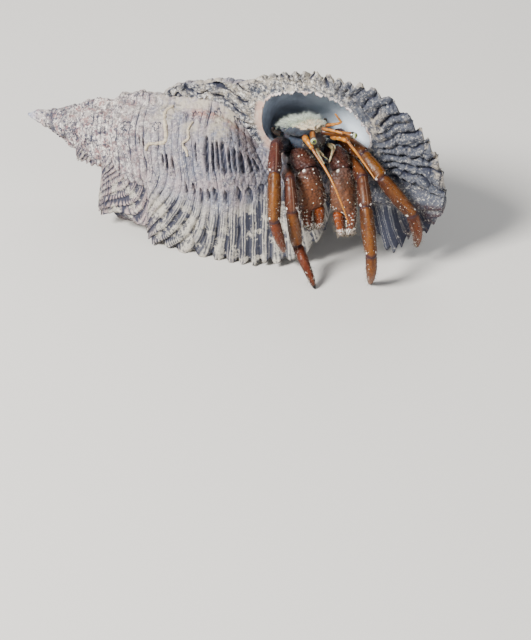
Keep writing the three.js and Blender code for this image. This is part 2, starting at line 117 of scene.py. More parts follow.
NOISE_START = 1000.0  # keeps the lattice's whole numbers above 0


def noise(p, scale, seed):
    """Smooth noise from -1 to 1 over the last axis of p, with lumps of about scale."""
    q = np.asarray(p, float) / scale + NOISE_START
    low = np.floor(q).astype(np.int64)
    f = q - low
    f = f * f * (3 - 2 * f)
    total = 0
    for dx in (0, 1):
        for dy in (0, 1):
            for dz in (0, 1):
                w = (f[..., 0] if dx else 1 - f[..., 0]) * (f[..., 1] if dy else 1 - f[..., 1])
                w = w * (f[..., 2] if dz else 1 - f[..., 2])
                total = total + w * lattice(low[..., 0] + dx, low[..., 1] + dy, low[..., 2] + dz, seed)
    return total * 2 - 1


def rough(p, scale, octaves, seed):
    """Noise of several sizes, each half the size and strength of the one before."""
    total = 0
    for k in range(octaves):
        total = total + noise(p, scale / 2**k, seed + k) / 2**k
    return total


# ---------------------------------------------------------------- meshes

FACES_SAMPLED = 200000  # about how many faces of a mesh tell which way round it is


def new_object(name, points, faces, attributes=None):
    """A smooth-shaded mesh object from points in design millimetres, with point attributes by name."""
    mesh = bpy.data.meshes.new(name)
    points = (np.asarray(points, float) - ORIGIN) * MM
    counts = np.array([len(f) for f in faces])
    loops = np.concatenate([np.asarray(f) for f in faces])
    mesh.vertices.add(len(points))
    mesh.vertices.foreach_set("co", points.reshape(-1))
    mesh.loops.add(len(loops))
    mesh.loops.foreach_set("vertex_index", loops.astype(np.int32))
    mesh.polygons.add(len(counts))
    mesh.polygons.foreach_set("loop_start", (np.cumsum(counts) - counts).astype(np.int32))
    mesh.polygons.foreach_set("use_smooth", np.full(len(counts), True))
    for key, values in (attributes or {}).items():
        layer = mesh.attributes.new(key, "FLOAT", "POINT")
        layer.data.foreach_set("value", np.asarray(values, np.float32).reshape(-1))
    mesh.update(calc_edges=True)
    mesh.validate()
    obj = bpy.data.objects.new(name, mesh)
    bpy.context.scene.collection.objects.link(obj)
    return obj


def tube_faces(rings, sides):
    """Quads over rings of points joined end to end, and a triangle fan over each end."""
    r, s = np.meshgrid(np.arange(rings - 1), np.arange(sides), indexing="ij")
    a = (r * sides + s).reshape(-1)
    b = (r * sides + (s + 1) % sides).reshape(-1)
    quads = np.stack([a, b, b + sides, a + sides], 1)
    first = rings * sides
    s = np.arange(sides)
    start = np.stack([np.full(sides, first), (s + 1) % sides, s], 1)
    top = (rings - 1) * sides
    end = np.stack([np.full(sides, first + 1), top + s, top + (s + 1) % sides], 1)
    return [list(f) for f in quads] + [list(f) for f in start] + [list(f) for f in end]


def with_ends(grid):
    """Points of a grid of rings, with the middle of the first and last ring added."""
    flat = grid.reshape(-1, grid.shape[-1])
    return np.vstack([flat, grid[0].mean(0), grid[-1].mean(0)])


def outward(points, faces):
    """The faces, all turned over if they enclose a negative volume."""
    volume = 0.0
    for f in faces[:: max(1, len(faces) // FACES_SAMPLED)]:
        a = points[f[0]]
        for i in range(1, len(f) - 1):
            volume += float(np.dot(a, np.cross(points[f[i]], points[f[i + 1]])))
    return faces if volume > 0 else [f[::-1] for f in faces]


def grid_object(name, grid, attributes):
    """A closed object through rings of points (rings, sides, 3), with attributes of one value a point."""
    points = with_ends(grid)
    faces = outward(points, tube_faces(grid.shape[0], grid.shape[1]))
    fields = {key: with_ends(np.asarray(v)[..., None])[:, 0] for key, v in attributes.items()}
    return new_object(name, points, faces, fields)


def place(obj, nodes, material):
    """Files a finished piece: what it rides on, stands for and is made of."""
    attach(obj, "root")
    if nodes:
        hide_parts(*nodes)
    obj.data.materials.clear()
    obj.data.materials.append(material)


# ---------------------------------------------------------------- materials

COAT_ROUGHNESS = 0.25
SUBSURFACE_SCALE = 0.0008


class Nodes:
    """A short way to write a node material."""

    def __init__(self, name, roughness, coat=0.0, sheen=0.0, subsurface=0.0, specular=0.5):
        self.material = bpy.data.materials.new(name)
        self.material.use_nodes = True
        self.tree = self.material.node_tree
        self.shader = self.tree.nodes["Principled BSDF"]
        settings = {"Roughness": roughness, "Specular IOR Level": specular, "Sheen Weight": sheen}
        settings.update({"Coat Weight": coat, "Coat Roughness": COAT_ROUGHNESS})
        if subsurface:
            settings.update({"Subsurface Weight": subsurface, "Subsurface Scale": SUBSURFACE_SCALE})
        for key, number in settings.items():
            self.shader.inputs[key].default_value = number
        self.coordinates = self.tree.nodes.new("ShaderNodeTexCoord").outputs["Object"]

    def put(self, socket, value):
        if isinstance(value, (int, float)):
            socket.default_value = value
        elif isinstance(value, tuple):
            socket.default_value = (*value, 1.0)[: len(socket.default_value)]
        else:
            self.tree.links.new(value, socket)

    def field(self, name):
        """A point attribute of the mesh."""
        node = self.tree.nodes.new("ShaderNodeAttribute")
        node.attribute_name = name
        return node.outputs["Fac"]

    def noise(self, size_mm, detail, roughness=0.6):
        node = self.tree.nodes.new("ShaderNodeTexNoise")
        settings = {"Scale": 1 / MM / size_mm, "Detail": detail, "Roughness": roughness}
        for key, number in settings.items():
            node.inputs[key].default_value = number
        self.tree.links.new(self.coordinates, node.inputs["Vector"])
        return node.outputs["Fac"]

    def ramp(self, value, low, high, out_low=0.0, out_high=1.0):
        node = self.tree.nodes.new("ShaderNodeMapRange")
        node.interpolation_type = "SMOOTHSTEP"
        settings = {"From Min": low, "From Max": high, "To Min": out_low, "To Max": out_high}
        for key, number in settings.items():
            node.inputs[key].default_value = number
        self.put(node.inputs["Value"], value)
        return node.outputs["Result"]

    def blots(self, size_mm, detail, roughness, low, high, out_low=0.0, out_high=1.0):
        """Uneven patches: noise, stepped up softly between its values low and high."""
        return self.ramp(self.noise(size_mm, detail, roughness), low, high, out_low, out_high)

    def math(self, operation, a, b):
        node = self.tree.nodes.new("ShaderNodeMath")
        node.operation = operation
        self.put(node.inputs[0], a)
        self.put(node.inputs[1], b)
        return node.outputs[0]

    def mix(self, a, b, share, blend="MIX"):
        node = self.tree.nodes.new("ShaderNodeMix")
        node.data_type = "RGBA"
        node.blend_type = blend
        self.put(node.inputs["Factor"], share)
        self.put(node.inputs["A"], a)
        self.put(node.inputs["B"], b)
        return node.outputs["Result"]

    def blend(self, a, b, *blots):
        """Color a with blots of color b."""
        return self.mix(a, b, self.blots(*blots))

    def coats(self, color, *layers):
        """The color under layers of (color, mask, how much of it shows)."""
        for coat, mask, share in layers:
            color = self.mix(color, coat, self.math("MULTIPLY", mask, share))
        return color

    def finish(self, color, relief=None, relief_mm=0.0, roughness=None):
        self.put(self.shader.inputs["Base Color"], color)
        if roughness is not None:
            self.put(self.shader.inputs["Roughness"], roughness)
        if relief is not None:
            node = self.tree.nodes.new("ShaderNodeBump")
            node.inputs["Distance"].default_value = relief_mm * MM
            self.put(node.inputs["Height"], relief)
            self.tree.links.new(node.outputs["Normal"], self.shader.inputs["Normal"])
        return self.material


# ---------------------------------------------------------------- shell form, as in the solids

SHELL_LENGTH = 95.5
SHELL_YAW = 21.5
SHELL_DIP = 1.0
AXIS_PLACE = np.array([0, -3.7, 15.2])  # where the axis passes, at AXIS_STATION from the apex
AXIS_STATION = 50.5
WHORL_GROWTH = 1.55  # in size, for each whorl
WHORLS = 6
RIB_ANGLES = (0, 120, 226.5)  # of the three ribs in a whorl, back from the mouth
VARIX_RAMP = 45.0  # degrees over which a rib falls away on its gentle side
VARIX_DROP = 8.0  # and on its steep side
VARIX_SWELL = 0.16  # share that a rib adds to the wall's radius
FAN_SHARPNESS = 2.4
FAN_DROP = 6.0  # degrees over which a fan falls away on its steep side
TWIST_START = 68.0  # along the axis, where the front end starts to twist
TWIST_RATE = 1.3  # degrees for each millimetre
SPIRE_SLOPE = 0.37
SPIRE_TIP = 12.0  # along the axis, up to where a plain cone lies under the whorls
SMALLEST_RADIUS = 0.3
# Radii along the axis at the size of the last whorl: the wall, the canal, the lip's fan, another
# rib's fan and the fans on the canal.
WHORL_PROFILE = [
    (33, 10.5), (36, 12.6), (40, 13.9), (50, 15.3), (56, 16), (62, 16.9), (67, 17.4),
    (72, 16.7), (76, 14.6), (79.5, 11.2), (82, 8.2), (85, 5.8), (95.5, 2),
]
CANAL_PROFILE = [(55, 5.2), (65, 3.7), (81, 3), (91, 2.2), (95.5, 1.5)]
LIP_FAN = [
    (36.5, 13), (44.7, 17.4), (51.3, 18.4), (55.1, 20.8), (63.3, 23.4), (71.9, 23.6),
    (81.5, 22.2), (89.2, 16.2), (93.9, 9.2), (95.5, 3.4),
]
FAN = [
    (33.6, 12), (35.3, 20.2), (39.9, 21.5), (51.4, 21.9), (56.9, 21.6), (63.2, 20.1),
    (69, 17.1), (72.5, 11),
]
CANAL_FANS = [(79.6, 3.2), (83.2, 9.4), (85.4, 11.9), (88, 10.8), (89.8, 7.6), (91.8, 7.6), (95.5, 2)]
FAN_SIZES = (1, 1.22, 1, 0, 0.65, 1.28, 0, 0.5, 0.9)  # of each rib, back from the mouth
# The mouth's outline: places along the axis and radii.
HOLLOW = [
    (55.2, 11.4), (56.5, 15.9), (61.3, 18.3), (67.7, 19.2), (73.2, 17.6), (77, 14.6),
    (78.8, 11.5), (78.4, 8.6), (77, 4.5), (70, 4), (62, 4.6), (56.5, 7),
]
HOLLOW_NECK = 0.24  # share that the hollow narrows by behind the mouth
HOLLOW_MIDDLE = (67, 6)
HOLLOW_TURNS = 230  # degrees that the hollow runs back from the mouth
HOLLOW_MOUTH = -8  # degrees that its cutter starts in front of the mouth


def aim(heading, pitch):
    """Direction in degrees: heading turns from the viewer to the right, pitch is up."""
    h, p = math.radians(heading), math.radians(pitch)
    return np.array([math.cos(p) * math.sin(h), -math.cos(p) * math.cos(h), math.sin(p)])


shell_axis = aim(90 - SHELL_YAW, -SHELL_DIP)
shell_up = unit(np.array([0, 0, 1.0]) - shell_axis * shell_axis[2])
shell_rear = np.cross(shell_up, shell_axis)
apex = AXIS_PLACE - shell_axis * AXIS_STATION


def shell_point(along, radius, angle):
    """Points at a distance along the axis from the apex, a radius and an angle round it."""
    turned = np.radians(angle)
    along, radius, turned = np.broadcast_arrays(along, radius, turned)
    return (
        apex
        + along[..., None] * shell_axis
        + (radius * np.cos(turned))[..., None] * shell_up
        + (radius * np.sin(turned))[..., None] * shell_rear
    )


def growth(turn):
    """Size of the shell at a turn in degrees back from the mouth, against the mouth."""
    return WHORL_GROWTH ** (-np.asarray(turn, float) / 360)


def rib_turn(rib):
    """Turn of each rib, counted back from the mouth."""
    return 360 * (rib // 3) + RIB_ANGLES[rib % 3]


def fan_edge(along, rib):
    """Radius of each rib's thin edge; rib is an array of whole numbers."""
    edge = np.where(rib == 0, curve_at(LIP_FAN, along), 0.0)
    for k in range(1, len(FAN_SIZES)):
        scale = float(growth(rib_turn(k)) / growth(rib_turn(2)))
        main = FAN_SIZES[k] * scale * curve_at(FAN, along / scale)
        if k == 2:
            main = np.maximum(main, curve_at(CANAL_FANS, along))
        edge = np.where(rib == k, main, edge)
    return edge


# ---------------------------------------------------------------- shell surface

CORD_STEP = 2.4  # between the main grooves, at the size of the last whorl
CORD_FIRST = 68.0
# Lens-shaped slots in the front of the last whorl: place along the axis, angle and half sizes.
SLOTS = [
    (44.6, 301, 0.2, 12), (47.0, 302, 0.5, 21), (48.4, 300, 0.22, 17), (49.3, 302, 0.3, 18),
    (50.5, 301, 0.6, 20), (51.8, 299, 0.26, 16), (52.7, 301, 0.34, 17), (53.9, 299, 0.46, 17),
    (55.2, 300, 0.24, 15), (56.2, 299, 0.3, 14), (37.4, 284, 0.2, 8), (38.4, 283, 0.3, 9),
    (39.7, 284, 0.22, 8), (31.2, 300, 0.14, 7), (32.2, 298, 0.18, 7), (43.4, 262, 0.2, 7),
    (45.3, 263, 0.25, 7), (47.1, 260, 0.42, 8), (48.6, 263, 0.22, 6), (50.1, 263, 0.5, 8),
    (52.4, 262, 0.3, 7), (54.6, 263, 0.5, 9), (56.7, 261, 0.42, 9), (58.6, 262, 0.35, 8),
    (46.4, 234, 0.26, 6), (48.9, 235, 0.3, 7), (51.6, 234, 0.34, 8), (54.2, 236, 0.24, 6),
    (56.6, 235, 0.36, 8), (59.2, 236, 0.26, 7), (61.6, 238, 0.3, 7),
]
# Star-shaped scars with a dark rim: place along the axis, angle and size.
SCARS = [
    (27.5, 314, 1.5), (18.0, 275, 1.0), (34.3, 320, 1.1), (41.5, 345, 0.8), (46, 352, 1.0), (50, 356, 0.9),
]
MOUTH_POINTS = 120  # places on the mouth's rim that distances are measured to
MOUTH_SPAN = (50, 82)  # along the axis, where the wall may be near the mouth
FIRST_RING = 0.6  # from the apex
RING_STEP = 0.14
ANGLE_STEP = 0.85
FACE_STEPS = 64  # across the face of the lip
HOLLOW_STEP = 3.0
HOLLOW_SIDES = 300
FRINGE_STEPS = 14  # places round the shell over the steep side of each fan
TOO_FAR = 99.0  # stands for any distance too far from the mouth to matter
THREADS = 4  # between two cords


def fan_lean(station, rib):
    """How far the rays of a fan lean towards the spire for each millimetre of height."""
    along = station * float(growth(RIB_ANGLES[2]))
    main = 1.25 * smooth(61 - along, 0, 27) - 0.3 * smooth(along, 60, 74)
    return np.where(rib == 0, 0.6 * smooth(60 - station, 0, 24) - 0.3 * smooth(station, 74, 92), main)


def sculpture(root, turn, worn, thin):
    """Height of the cords and threads, their grooves' darkness, their crests' lightness and the phase."""
    flat = np.stack([root, turn * 0.2, 0 * root], -1)
    wander = 0.45 * noise(flat, 5.0, 51) + 0.17 * noise(flat, 1.5, 52)
    phase = (root + wander - CORD_FIRST) / CORD_STEP
    number = np.round(phase)
    zero = np.zeros(number.shape, np.int64)
    whorl = np.floor(turn / 360).astype(np.int64)
    chance = lattice(number.astype(np.int64) + 50, whorl, zero, 5)
    cut = bump(np.abs(phase - number) * CORD_STEP, 0, 0.16 + 0.16 * chance + 0.2 * thin)
    fine = phase * THREADS
    fine_chance = lattice(np.round(fine).astype(np.int64) + 500, whorl, zero, 6)
    thread = bump(off_whole(fine) / THREADS * CORD_STEP, 0, 0.14 + 0.03 * thin)
    bare = thin * (0.25 + 0.75 * smooth(root, 38, 52))
    thread = thread * np.minimum(0.25 + 0.75 * fine_chance + 0.35 * bare, 1)
    crest = wave(phase)
    blotch = smooth(noise(flat, 2.6, 53), -0.3, 0.5)
    scale = np.abs(((turn * 0.5 + 2.0 * noise(flat, 3, 54)) % 1) - 0.5)
    height = (0.2 * crest - (0.22 + 0.25 * chance) * cut - 0.2 * thread + 0.1 * scale * crest) * worn
    height = height + thin * (0.26 * crest - 0.36 * cut - 0.2 * thread)
    dark = cut * (0.3 + 0.6 * chance * blotch + 0.45 * bare) + thread * (0.35 + 0.55 * blotch + 0.4 * bare)
    light = crest * (0.35 + 0.65 * fine_chance) * (1 - thread)
    return height, np.clip(dark, 0, 1), light, phase


def whorl_surface(along, turn):
    """Radius, groove darkness, crest lightness, thinness and silt of the whorl built at this turn."""
    size = growth(turn)
    whorl = np.floor(turn / 360)
    within = turn - 360 * whorl
    step = (within >= RIB_ANGLES[1]).astype(int) + (within >= RIB_ANGLES[2])
    past = (3 * whorl + step).astype(int)
    starts = np.array(RIB_ANGLES)
    ends = np.array([*RIB_ANGLES[1:], 360])
    since_past = within - starts[step]
    to_next = ends[step] - within
    fan_rise = np.clip(np.maximum(1 - since_past / VARIX_RAMP, 1 - to_next / FAN_DROP), 0, None)
    rib_rise = np.clip(np.maximum(1 - since_past / VARIX_RAMP, 1 - to_next / VARIX_DROP), 0, None)
    station = along / size
    wall = size * curve_at(WHORL_PROFILE, station) * (1 + VARIX_SWELL * rib_rise)
    rib = np.where(to_next < FAN_DROP, past + 1, past)
    edge = fan_edge(along, rib)
    over = np.maximum(edge - wall, 0) * fan_rise**FAN_SHARPNESS
    root = station + fan_lean(station, rib) * over / size
    thin = smooth(over / size, 0.3, 4)
    flat = np.stack([along, turn * 0.15, 0 * along], -1)
    worn = 0.45 + 0.55 * smooth(noise(flat, 4.5, 61) + 0.35 * noise(flat, 1.3, 62), -0.3, 0.35)
    silt = smooth(np.cos(np.radians(turn)), 0.55, 0.95) * smooth(noise(flat, 3.2, 63), -0.6, 0.3)
    worn = worn * (1 - 0.7 * silt)
    height, dark, light, phase = sculpture(root, turn, worn, thin)
    number = np.floor(phase).astype(np.int64)
    chance = lattice(number + 70, past.astype(np.int64), 0 * number, 8)
    frill = (0.2 + 0.75 * chance) * wave(phase) - 0.4
    frill = frill + 0.2 * (1 - chance) * np.cos(TAU * phase * THREADS)
    fringe = smooth(fan_rise, 0.8, 1.0) * thin
    over = over + fringe * size * frill * np.where(rib == 0, 0.35 + 0.35 * smooth(station, 60, 72), 1.0)
    relief = smooth((wall + over) / size, 2.5, 6)
    radius = wall + over + height * size * relief
    return radius, dark * relief * (1 - 0.75 * silt), light * relief, thin, silt


def lenses(along, angle):
    """Depth from 0 to 1 of the slots at each place."""
    deep = np.zeros(along.shape)
    for x, middle, half, high in SLOTS:
        lens = np.clip(1 - ((angle - middle) / high) ** 2, 0, 1)
        own = growth(middle)
        off = np.abs(along / growth(angle) * own - x + 0.1 * np.sin((angle - middle) * 0.14 + x))
        mark = np.exp(-((off / (half * lens + 0.02)) ** 2.4)) * smooth(lens, 0, 0.5)
        deep = np.maximum(deep, mark)
    return deep


def stars(along, radius, angle):
    """Marks of the scars: the dark rim and the pale inside."""
    rim = np.zeros(along.shape)
    inside = np.zeros(along.shape)
    for k, (x, middle, size) in enumerate(SCARS):
        dx = along - x
        dy = np.radians(angle - middle) * radius
        spread = np.arctan2(dy, dx)
        edge = size * (0.62 + 0.2 * np.cos(5 * spread + k) + 0.14 * np.cos(3 * spread + 2 * k))
        far = np.hypot(dx, dy) - edge
        rim = np.maximum(rim, np.exp(-((far / 0.16) ** 2)))
        inside = np.maximum(inside, smooth(-far, 0, 0.2))
    return rim, inside


def shell_surface(along, angle):
    """The outermost whorl's radius at each place, and its four fields."""
    stub = np.maximum(curve_at(CANAL_PROFILE, along), SMALLEST_RADIUS)
    radius = np.where(along < SPIRE_TIP, np.maximum(stub, SPIRE_SLOPE * along), stub)
    fields = [np.zeros(radius.shape) for _ in range(4)]
    for whorl in range(WHORLS):
        own, *others = whorl_surface(along, angle + 360 * whorl)
        on_top = own > radius
        seam = bump(own - radius, 0, 0.35) * (whorl > 0) * (radius > 2)
        fields = [np.where(on_top, new, old) for new, old in zip(others, fields)]
        fields[0] = np.maximum(fields[0], 0.6 * seam)
        radius = np.maximum(radius, own) - 0.25 * seam
    return radius, fields


def leaning_angle(along, angle):
    """The angle after the twist of the shell's front end."""
    share = np.minimum(np.minimum(angle / 100, (360 - angle) / 90), 1)
    return angle - TWIST_RATE * np.maximum(along - TWIST_START, 0) * np.maximum(share, 0)


def ring_angles(step):
    """Angles round the shell, closer together where a rib falls away."""
    out = []
    for k, start in enumerate(RIB_ANGLES):
        end = [*RIB_ANGLES[1:], 360][k]
        out.append(np.arange(start, end - FAN_DROP - 0.5 * step, step))
        out.append(np.linspace(end - FAN_DROP, end - 0.02, FRINGE_STEPS))
    return np.concatenate(out)


def mouth_outline(count):
    """The smooth closed outline of the opening: distance along the axis and radius."""
    p = np.array([*HOLLOW[-2:], *HOLLOW, *HOLLOW[:3]], float)
    t = np.arange(len(p)) - 2.0
    u = np.arange(count) * len(HOLLOW) / count
    x = curve_at(np.stack([t, p[:, 0]], 1), u)
    r = curve_at(np.stack([t, p[:, 1]], 1), u)
    return np.stack([x, r], 1)


def nearest(points, targets):
    """Distance from each point to the nearest of the targets."""
    best = np.full(points.shape[:-1], 1e9)
    for target in targets:
        best = np.minimum(best, ((points - target) ** 2).sum(-1))
    return np.sqrt(best)


def lip_relief(along, radius):
    """Relief on the face of the lip: flutes that spread from the opening, with cracks between.

    Gives its height, the cracks' darkness and the flutes' lightness.
    """
    spread = np.arctan2(radius - 7, (along - 67) * 0.85)
    flat = np.stack([along, radius, 0 * along], -1)
    from_rim = nearest(np.stack([along, radius], -1), mouth_outline(MOUTH_POINTS))
    phase = spread * 7.5 + 0.5 * noise(flat, 5, 31) + 0.22 * noise(flat, 1.6, 32)
    number = np.round(phase)
    zero = np.zeros(number.shape, np.int64)
    chance = lattice(number.astype(np.int64) + 40, zero, zero, 9)
    reach = smooth(from_rim, 0.6 + 2.5 * chance, 3.5 + 2 * chance)
    gap = (0.06 + 0.09 * chance) * (0.5 + 0.8 * smooth(noise(flat, 2.4, 33), -0.4, 0.6))
    cut = bump(phase - number, 0, gap) * reach * (0.25 + 0.75 * chance)
    thread = bump(off_whole(phase * THREADS + 0.3 * noise(flat, 0.9, 34)), 0, 0.2) * reach
    flute = wave(phase) * reach
    leaf = ((from_rim * 0.38 + 0.9 * noise(flat, 3.2, 45) + 0.37 * number) % 1) * reach
    lump = 0.35 * rough(flat, 4, 4, 41) * smooth(from_rim, 0.3, 1.6)
    rim = bump(from_rim, 0.1, 0.35)
    height = 0.5 * flute - 1.3 * cut + lump + 0.45 * leaf - 0.16 * thread + 0.25 * rim
    step_dark = smooth(leaf, 0.9, 1.0) + (1 - smooth(leaf, 0.0, 0.08)) * (reach > 0.5)
    dark = np.clip(cut * 1.5 + 0.35 * thread + 0.3 * step_dark + 0.2 * (1 - flute) * reach, 0, 1)
    return height, dark, flute * (1 - thread)


def rim_points():
    """Places on the mouth's rim."""
    mouth = mouth_outline(MOUTH_POINTS)
    return shell_point(mouth[:, 0], mouth[:, 1], np.zeros(MOUTH_POINTS))


def wall_part(along, step_angle):
    """The wall round the axis: its points, its radius at each, and the fields for the finish."""
    A, T = np.meshgrid(along, ring_angles(step_angle), indexing="ij")
    radius, (dark, light, thin, silt) = shell_surface(A, T)
    leaning = leaning_angle(A, T)
    wall = shell_point(A, radius, leaning)
    outside = unit(wall - shell_point(A, 0 * radius, leaning))
    slot = lenses(A, T) * (1 - 0.3 * thin)
    streaks = 0.72 + 0.28 * np.cos(TAU * A / 0.62 + 2.5 * noise(wall, 2.0, 29))
    rim, inside = stars(A, radius, T)
    body = smooth(radius, 1.0, 4.0)
    lumps = 0.14 + 0.22 * (1 - smooth(A, 22, 46))
    small = 0.13 * rough(wall, 1.5, 3, 7) + 0.08 * noise(wall, 0.45, 12)
    relief = lumps * rough(wall, 3.4, 3, 3) + small * body
    relief = relief + 0.5 * smooth(rough(wall, 1.9, 3, 90), 0.2, 0.9) * (1 - smooth(A, 26, 44)) * body
    pits = smooth(rough(wall, 0.8, 2, 17), 0.5, 0.9) * body
    crust = 0.22 * smooth(rough(wall, 1.1, 3, 23), -0.2, 0.9) * silt
    wavy = A / 0.78 + 0.55 * noise(wall, 1.6, 33) + 0.3 * noise(wall, 4, 34)
    threads = bump(wavy % 1, 0.5, 0.16) * body * (1 - thin)
    threads = threads * between(T, 215, 240, 322, 345) * smooth(A, 49, 55)
    low = relief + crust - 0.2 * pits - 1.0 * slot - 0.15 * inside - 0.1 * rim - 0.14 * threads
    wall = wall + outside * low[..., None]
    near_mouth = np.full(A.shape, TOO_FAR)
    rows = (along > MOUTH_SPAN[0]) & (along < MOUTH_SPAN[1])
    near_mouth[rows] = nearest(wall[rows], rim_points()[::2])
    return wall, radius, {
        "groove": np.maximum(np.maximum(dark, 0.5 * pits), np.maximum(slot * streaks * 1.15, rim)),
        "crest": light + 0.6 * inside,
        "fan": thin,
        "lipface": 0 * thin,
        "rim": bump(near_mouth, 0.1, 0.35),
        "silt": silt,
        "callus": (1 - smooth(near_mouth, 1.1, 2.4)) * (1 - smooth(A, 59, 63)) * smooth(T, 300, 330),
        "pinkband": bump(T, 346, 7) * between(A, 39, 42, 50, 53),
        "purple": smooth(A, 86.5, 89) * between(T, 180, 205, 286, 310),
        "thread": threads,
        "station": A / SHELL_LENGTH,
        "porcelain": 0 * thin,
    }


def face_part(along, start, end, steps):
    """The face of the lip between the radii at the start and the end of the turn, and its fields."""
    share = np.linspace(0, 1, steps + 2)[1:-1]
    R = end[:, None] + (start - end)[:, None] * share[None, :]
    A = np.broadcast_to(along[:, None], R.shape)
    height, cracks, flutes = lip_relief(A, R)
    fade = smooth((start - end)[:, None], 0.3, 2.0) * smooth(share, 0, 0.08)[None, :]
    face = shell_point(A, R, 360 - np.degrees(height * fade / np.maximum(R, 1)))
    from_rim = nearest(face, rim_points())
    rim = bump(from_rim + 0.25 * noise(face, 0.8, 75), 0.1, 0.42)
    flat = np.stack([A, R, 0 * R], -1)
    silt = (1 - smooth(A, 62, 76)) * smooth(noise(flat, 2.5, 71) + 0.5 * noise(flat, 0.8, 72), -0.5, 0.3)
    silt = np.maximum(silt, 0.8 * smooth(noise(flat, 3.5, 73) + 0.5 * noise(flat, 0.9, 74), 0.15, 0.6))
    fields = {key: np.zeros_like(R) for key in ("fan", "pinkband", "purple", "thread", "porcelain")}
    fields.update({
        "groove": cracks * fade,
        "crest": flutes * fade,
        "lipface": np.ones_like(R),
        "rim": rim,
        "silt": silt * (1 - rim),
        "callus": (1 - smooth(from_rim, 1.1, 2.0)) * (1 - smooth(A, 58.5, 61)) * (R < 15),
        "station": A / SHELL_LENGTH,
    })
    return face, fields


def shell_body(step_along, step_angle, face_steps):
    """Rings of points round the whole shell without its hollow, and the fields for the finish."""
    along = np.append(np.arange(FIRST_RING, SHELL_LENGTH, step_along), SHELL_LENGTH)
    wall, radius, wall_fields = wall_part(along, step_angle)
    face, face_fields = face_part(along, radius[:, 0], radius[:, -1], face_steps)
    grid = np.concatenate([wall, face], 1)
    grid[..., 2] = np.maximum(grid[..., 2], 0.0)
    both = {key: np.concatenate([values, face_fields[key]], 1) for key, values in wall_fields.items()}
    return grid, {key: np.clip(values, 0, 1) for key, values in both.items()}


def shell_hollow(step, count, fields):
    """Rings of points for the hollow, from the mouth inwards, and its values of the same fields."""
    outline = mouth_outline(count)
    angles = np.concatenate([np.arange(HOLLOW_MOUTH, 4, 0.8), np.arange(4, HOLLOW_TURNS, step)])
    around = np.arange(count) * TAU / count
    lobes = np.cos(around * 27 + 1.5 * np.sin(around * 3)) * (0.6 + 0.4 * np.sin(around * 5 + 1))
    lobes = 0.48 * lobes + 0.24 * np.cos(around * 61 + 2 * np.cos(around * 7))
    lobes = lobes * smooth(outline[:, 1], 8, 13)
    rings = []
    for angle in angles:
        neck = 1 - HOLLOW_NECK * min(max(angle / VARIX_RAMP, 0), 1)
        x = HOLLOW_MIDDLE[0] + (outline[:, 0] - HOLLOW_MIDDLE[0]) * neck
        r = HOLLOW_MIDDLE[1] + (outline[:, 1] - HOLLOW_MIDDLE[1]) * neck + lobes * bump(angle, 0, 5)
        size = float(growth(angle))
        rings.append(shell_point(x * size, r * size, np.full(count, float(angle))))
    rings = np.array(rings)
    flat = np.zeros(rings.shape[:2])
    out = {key: flat for key in fields}
    out["porcelain"] = flat + 1
    out["station"] = np.repeat(outline[None, :, 0], len(angles), 0) / SHELL_LENGTH
    out["rim"] = np.repeat(bump(angles, 0, 1.0)[:, None], count, 1)
    return rings, out


def build_shell():
    coarse = 1.0
    grid, fields = shell_body(RING_STEP * coarse, ANGLE_STEP * coarse, int(FACE_STEPS / coarse))
    shell = grid_object("shell_surface", grid, fields)
    hollow = grid_object("hollow_cutter", *shell_hollow(HOLLOW_STEP, HOLLOW_SIDES, fields))
    cut = shell.modifiers.new("hollow", "BOOLEAN")
    cut.operation = "DIFFERENCE"
    cut.object = hollow
    cut.solver = "MANIFOLD"
    bpy.context.view_layer.objects.active = shell
    shell.select_set(True)
    bpy.ops.object.modifier_apply(modifier=cut.name)
    shell.select_set(False)
    bpy.data.objects.remove(hollow)
    place(shell, ["shell"], shell_material())


# Worm tubes by name: half width, and the course in places along the axis and angles.
WORM_TUBES = {
    "worm_tube": (0.42, [
        (35.8, 352), (34.9, 342), (35.4, 332), (36.1, 324),
        (37.3, 306), (35.6, 301), (33.6, 298), (33.2, 290),
    ]),
    "worm_trail": (0.28, [(41.9, 332), (41.6, 322), (42.3, 313), (41.3, 306), (42.6, 300), (43, 294)]),
}


def build_tubes():
    """Two old worm tubes on the spire side of the last whorl."""
    material = tube_material()
    for name, (width, route) in WORM_TUBES.items():
        path = []
        for along, angle in route:
            radius, _ = shell_surface(np.array([[along]], float), np.array([[angle]], float))
            path.append(shell_point(along, radius[0, 0] + width * 0.3, angle).reshape(3))
        grid, masks = whip(path, (width * 0.7, width, width, width * 0.8), 90, 0.5)
        grid = grid + 0.1 * rough(grid, 0.55, 3, 601)[..., None]
        place(grid_object(name, grid, masks), [], material)


def tube_material():
    n = Nodes("worm_tube_finish", roughness=0.8)
    color = n.blend((0.58, 0.49, 0.35), (0.32, 0.26, 0.2), 0.7, 5, 0.75, 0.47, 0.6)
    return n.finish(color, n.noise(0.25, 3), 0.04)


CLOUDS = ((0.21, 0.222, 0.28), (0.37, 0.298, 0.31))
DARK_CLOUD = (0.13, 0.135, 0.18)
SPIRE_BASE = (0.5, 0.43, 0.4)
SPIRE_CREAM = (0.88, 0.82, 0.77)
SPIRE_BROWN = (0.3, 0.17, 0.165)
SPIRE_BLACK = (0.07, 0.07, 0.1)
CREST = (0.5, 0.42, 0.4)
FAN_COLORS = ((0.44, 0.32, 0.3), (0.5, 0.47, 0.38))
PINK_BAND = (0.5, 0.27, 0.22)
TIP_BLUE = (0.42, 0.47, 0.62)
LIP_BLUES = ((0.055, 0.065, 0.09), (0.115, 0.125, 0.15))
LIP_CREST = (0.2, 0.2, 0.22)
LIP_PALE = (0.82, 0.79, 0.74)
LIP_DARK = (0.035, 0.04, 0.06)
CANAL_PURPLE = (0.06, 0.034, 0.044)
PALE_SPECK = (0.72, 0.68, 0.6)
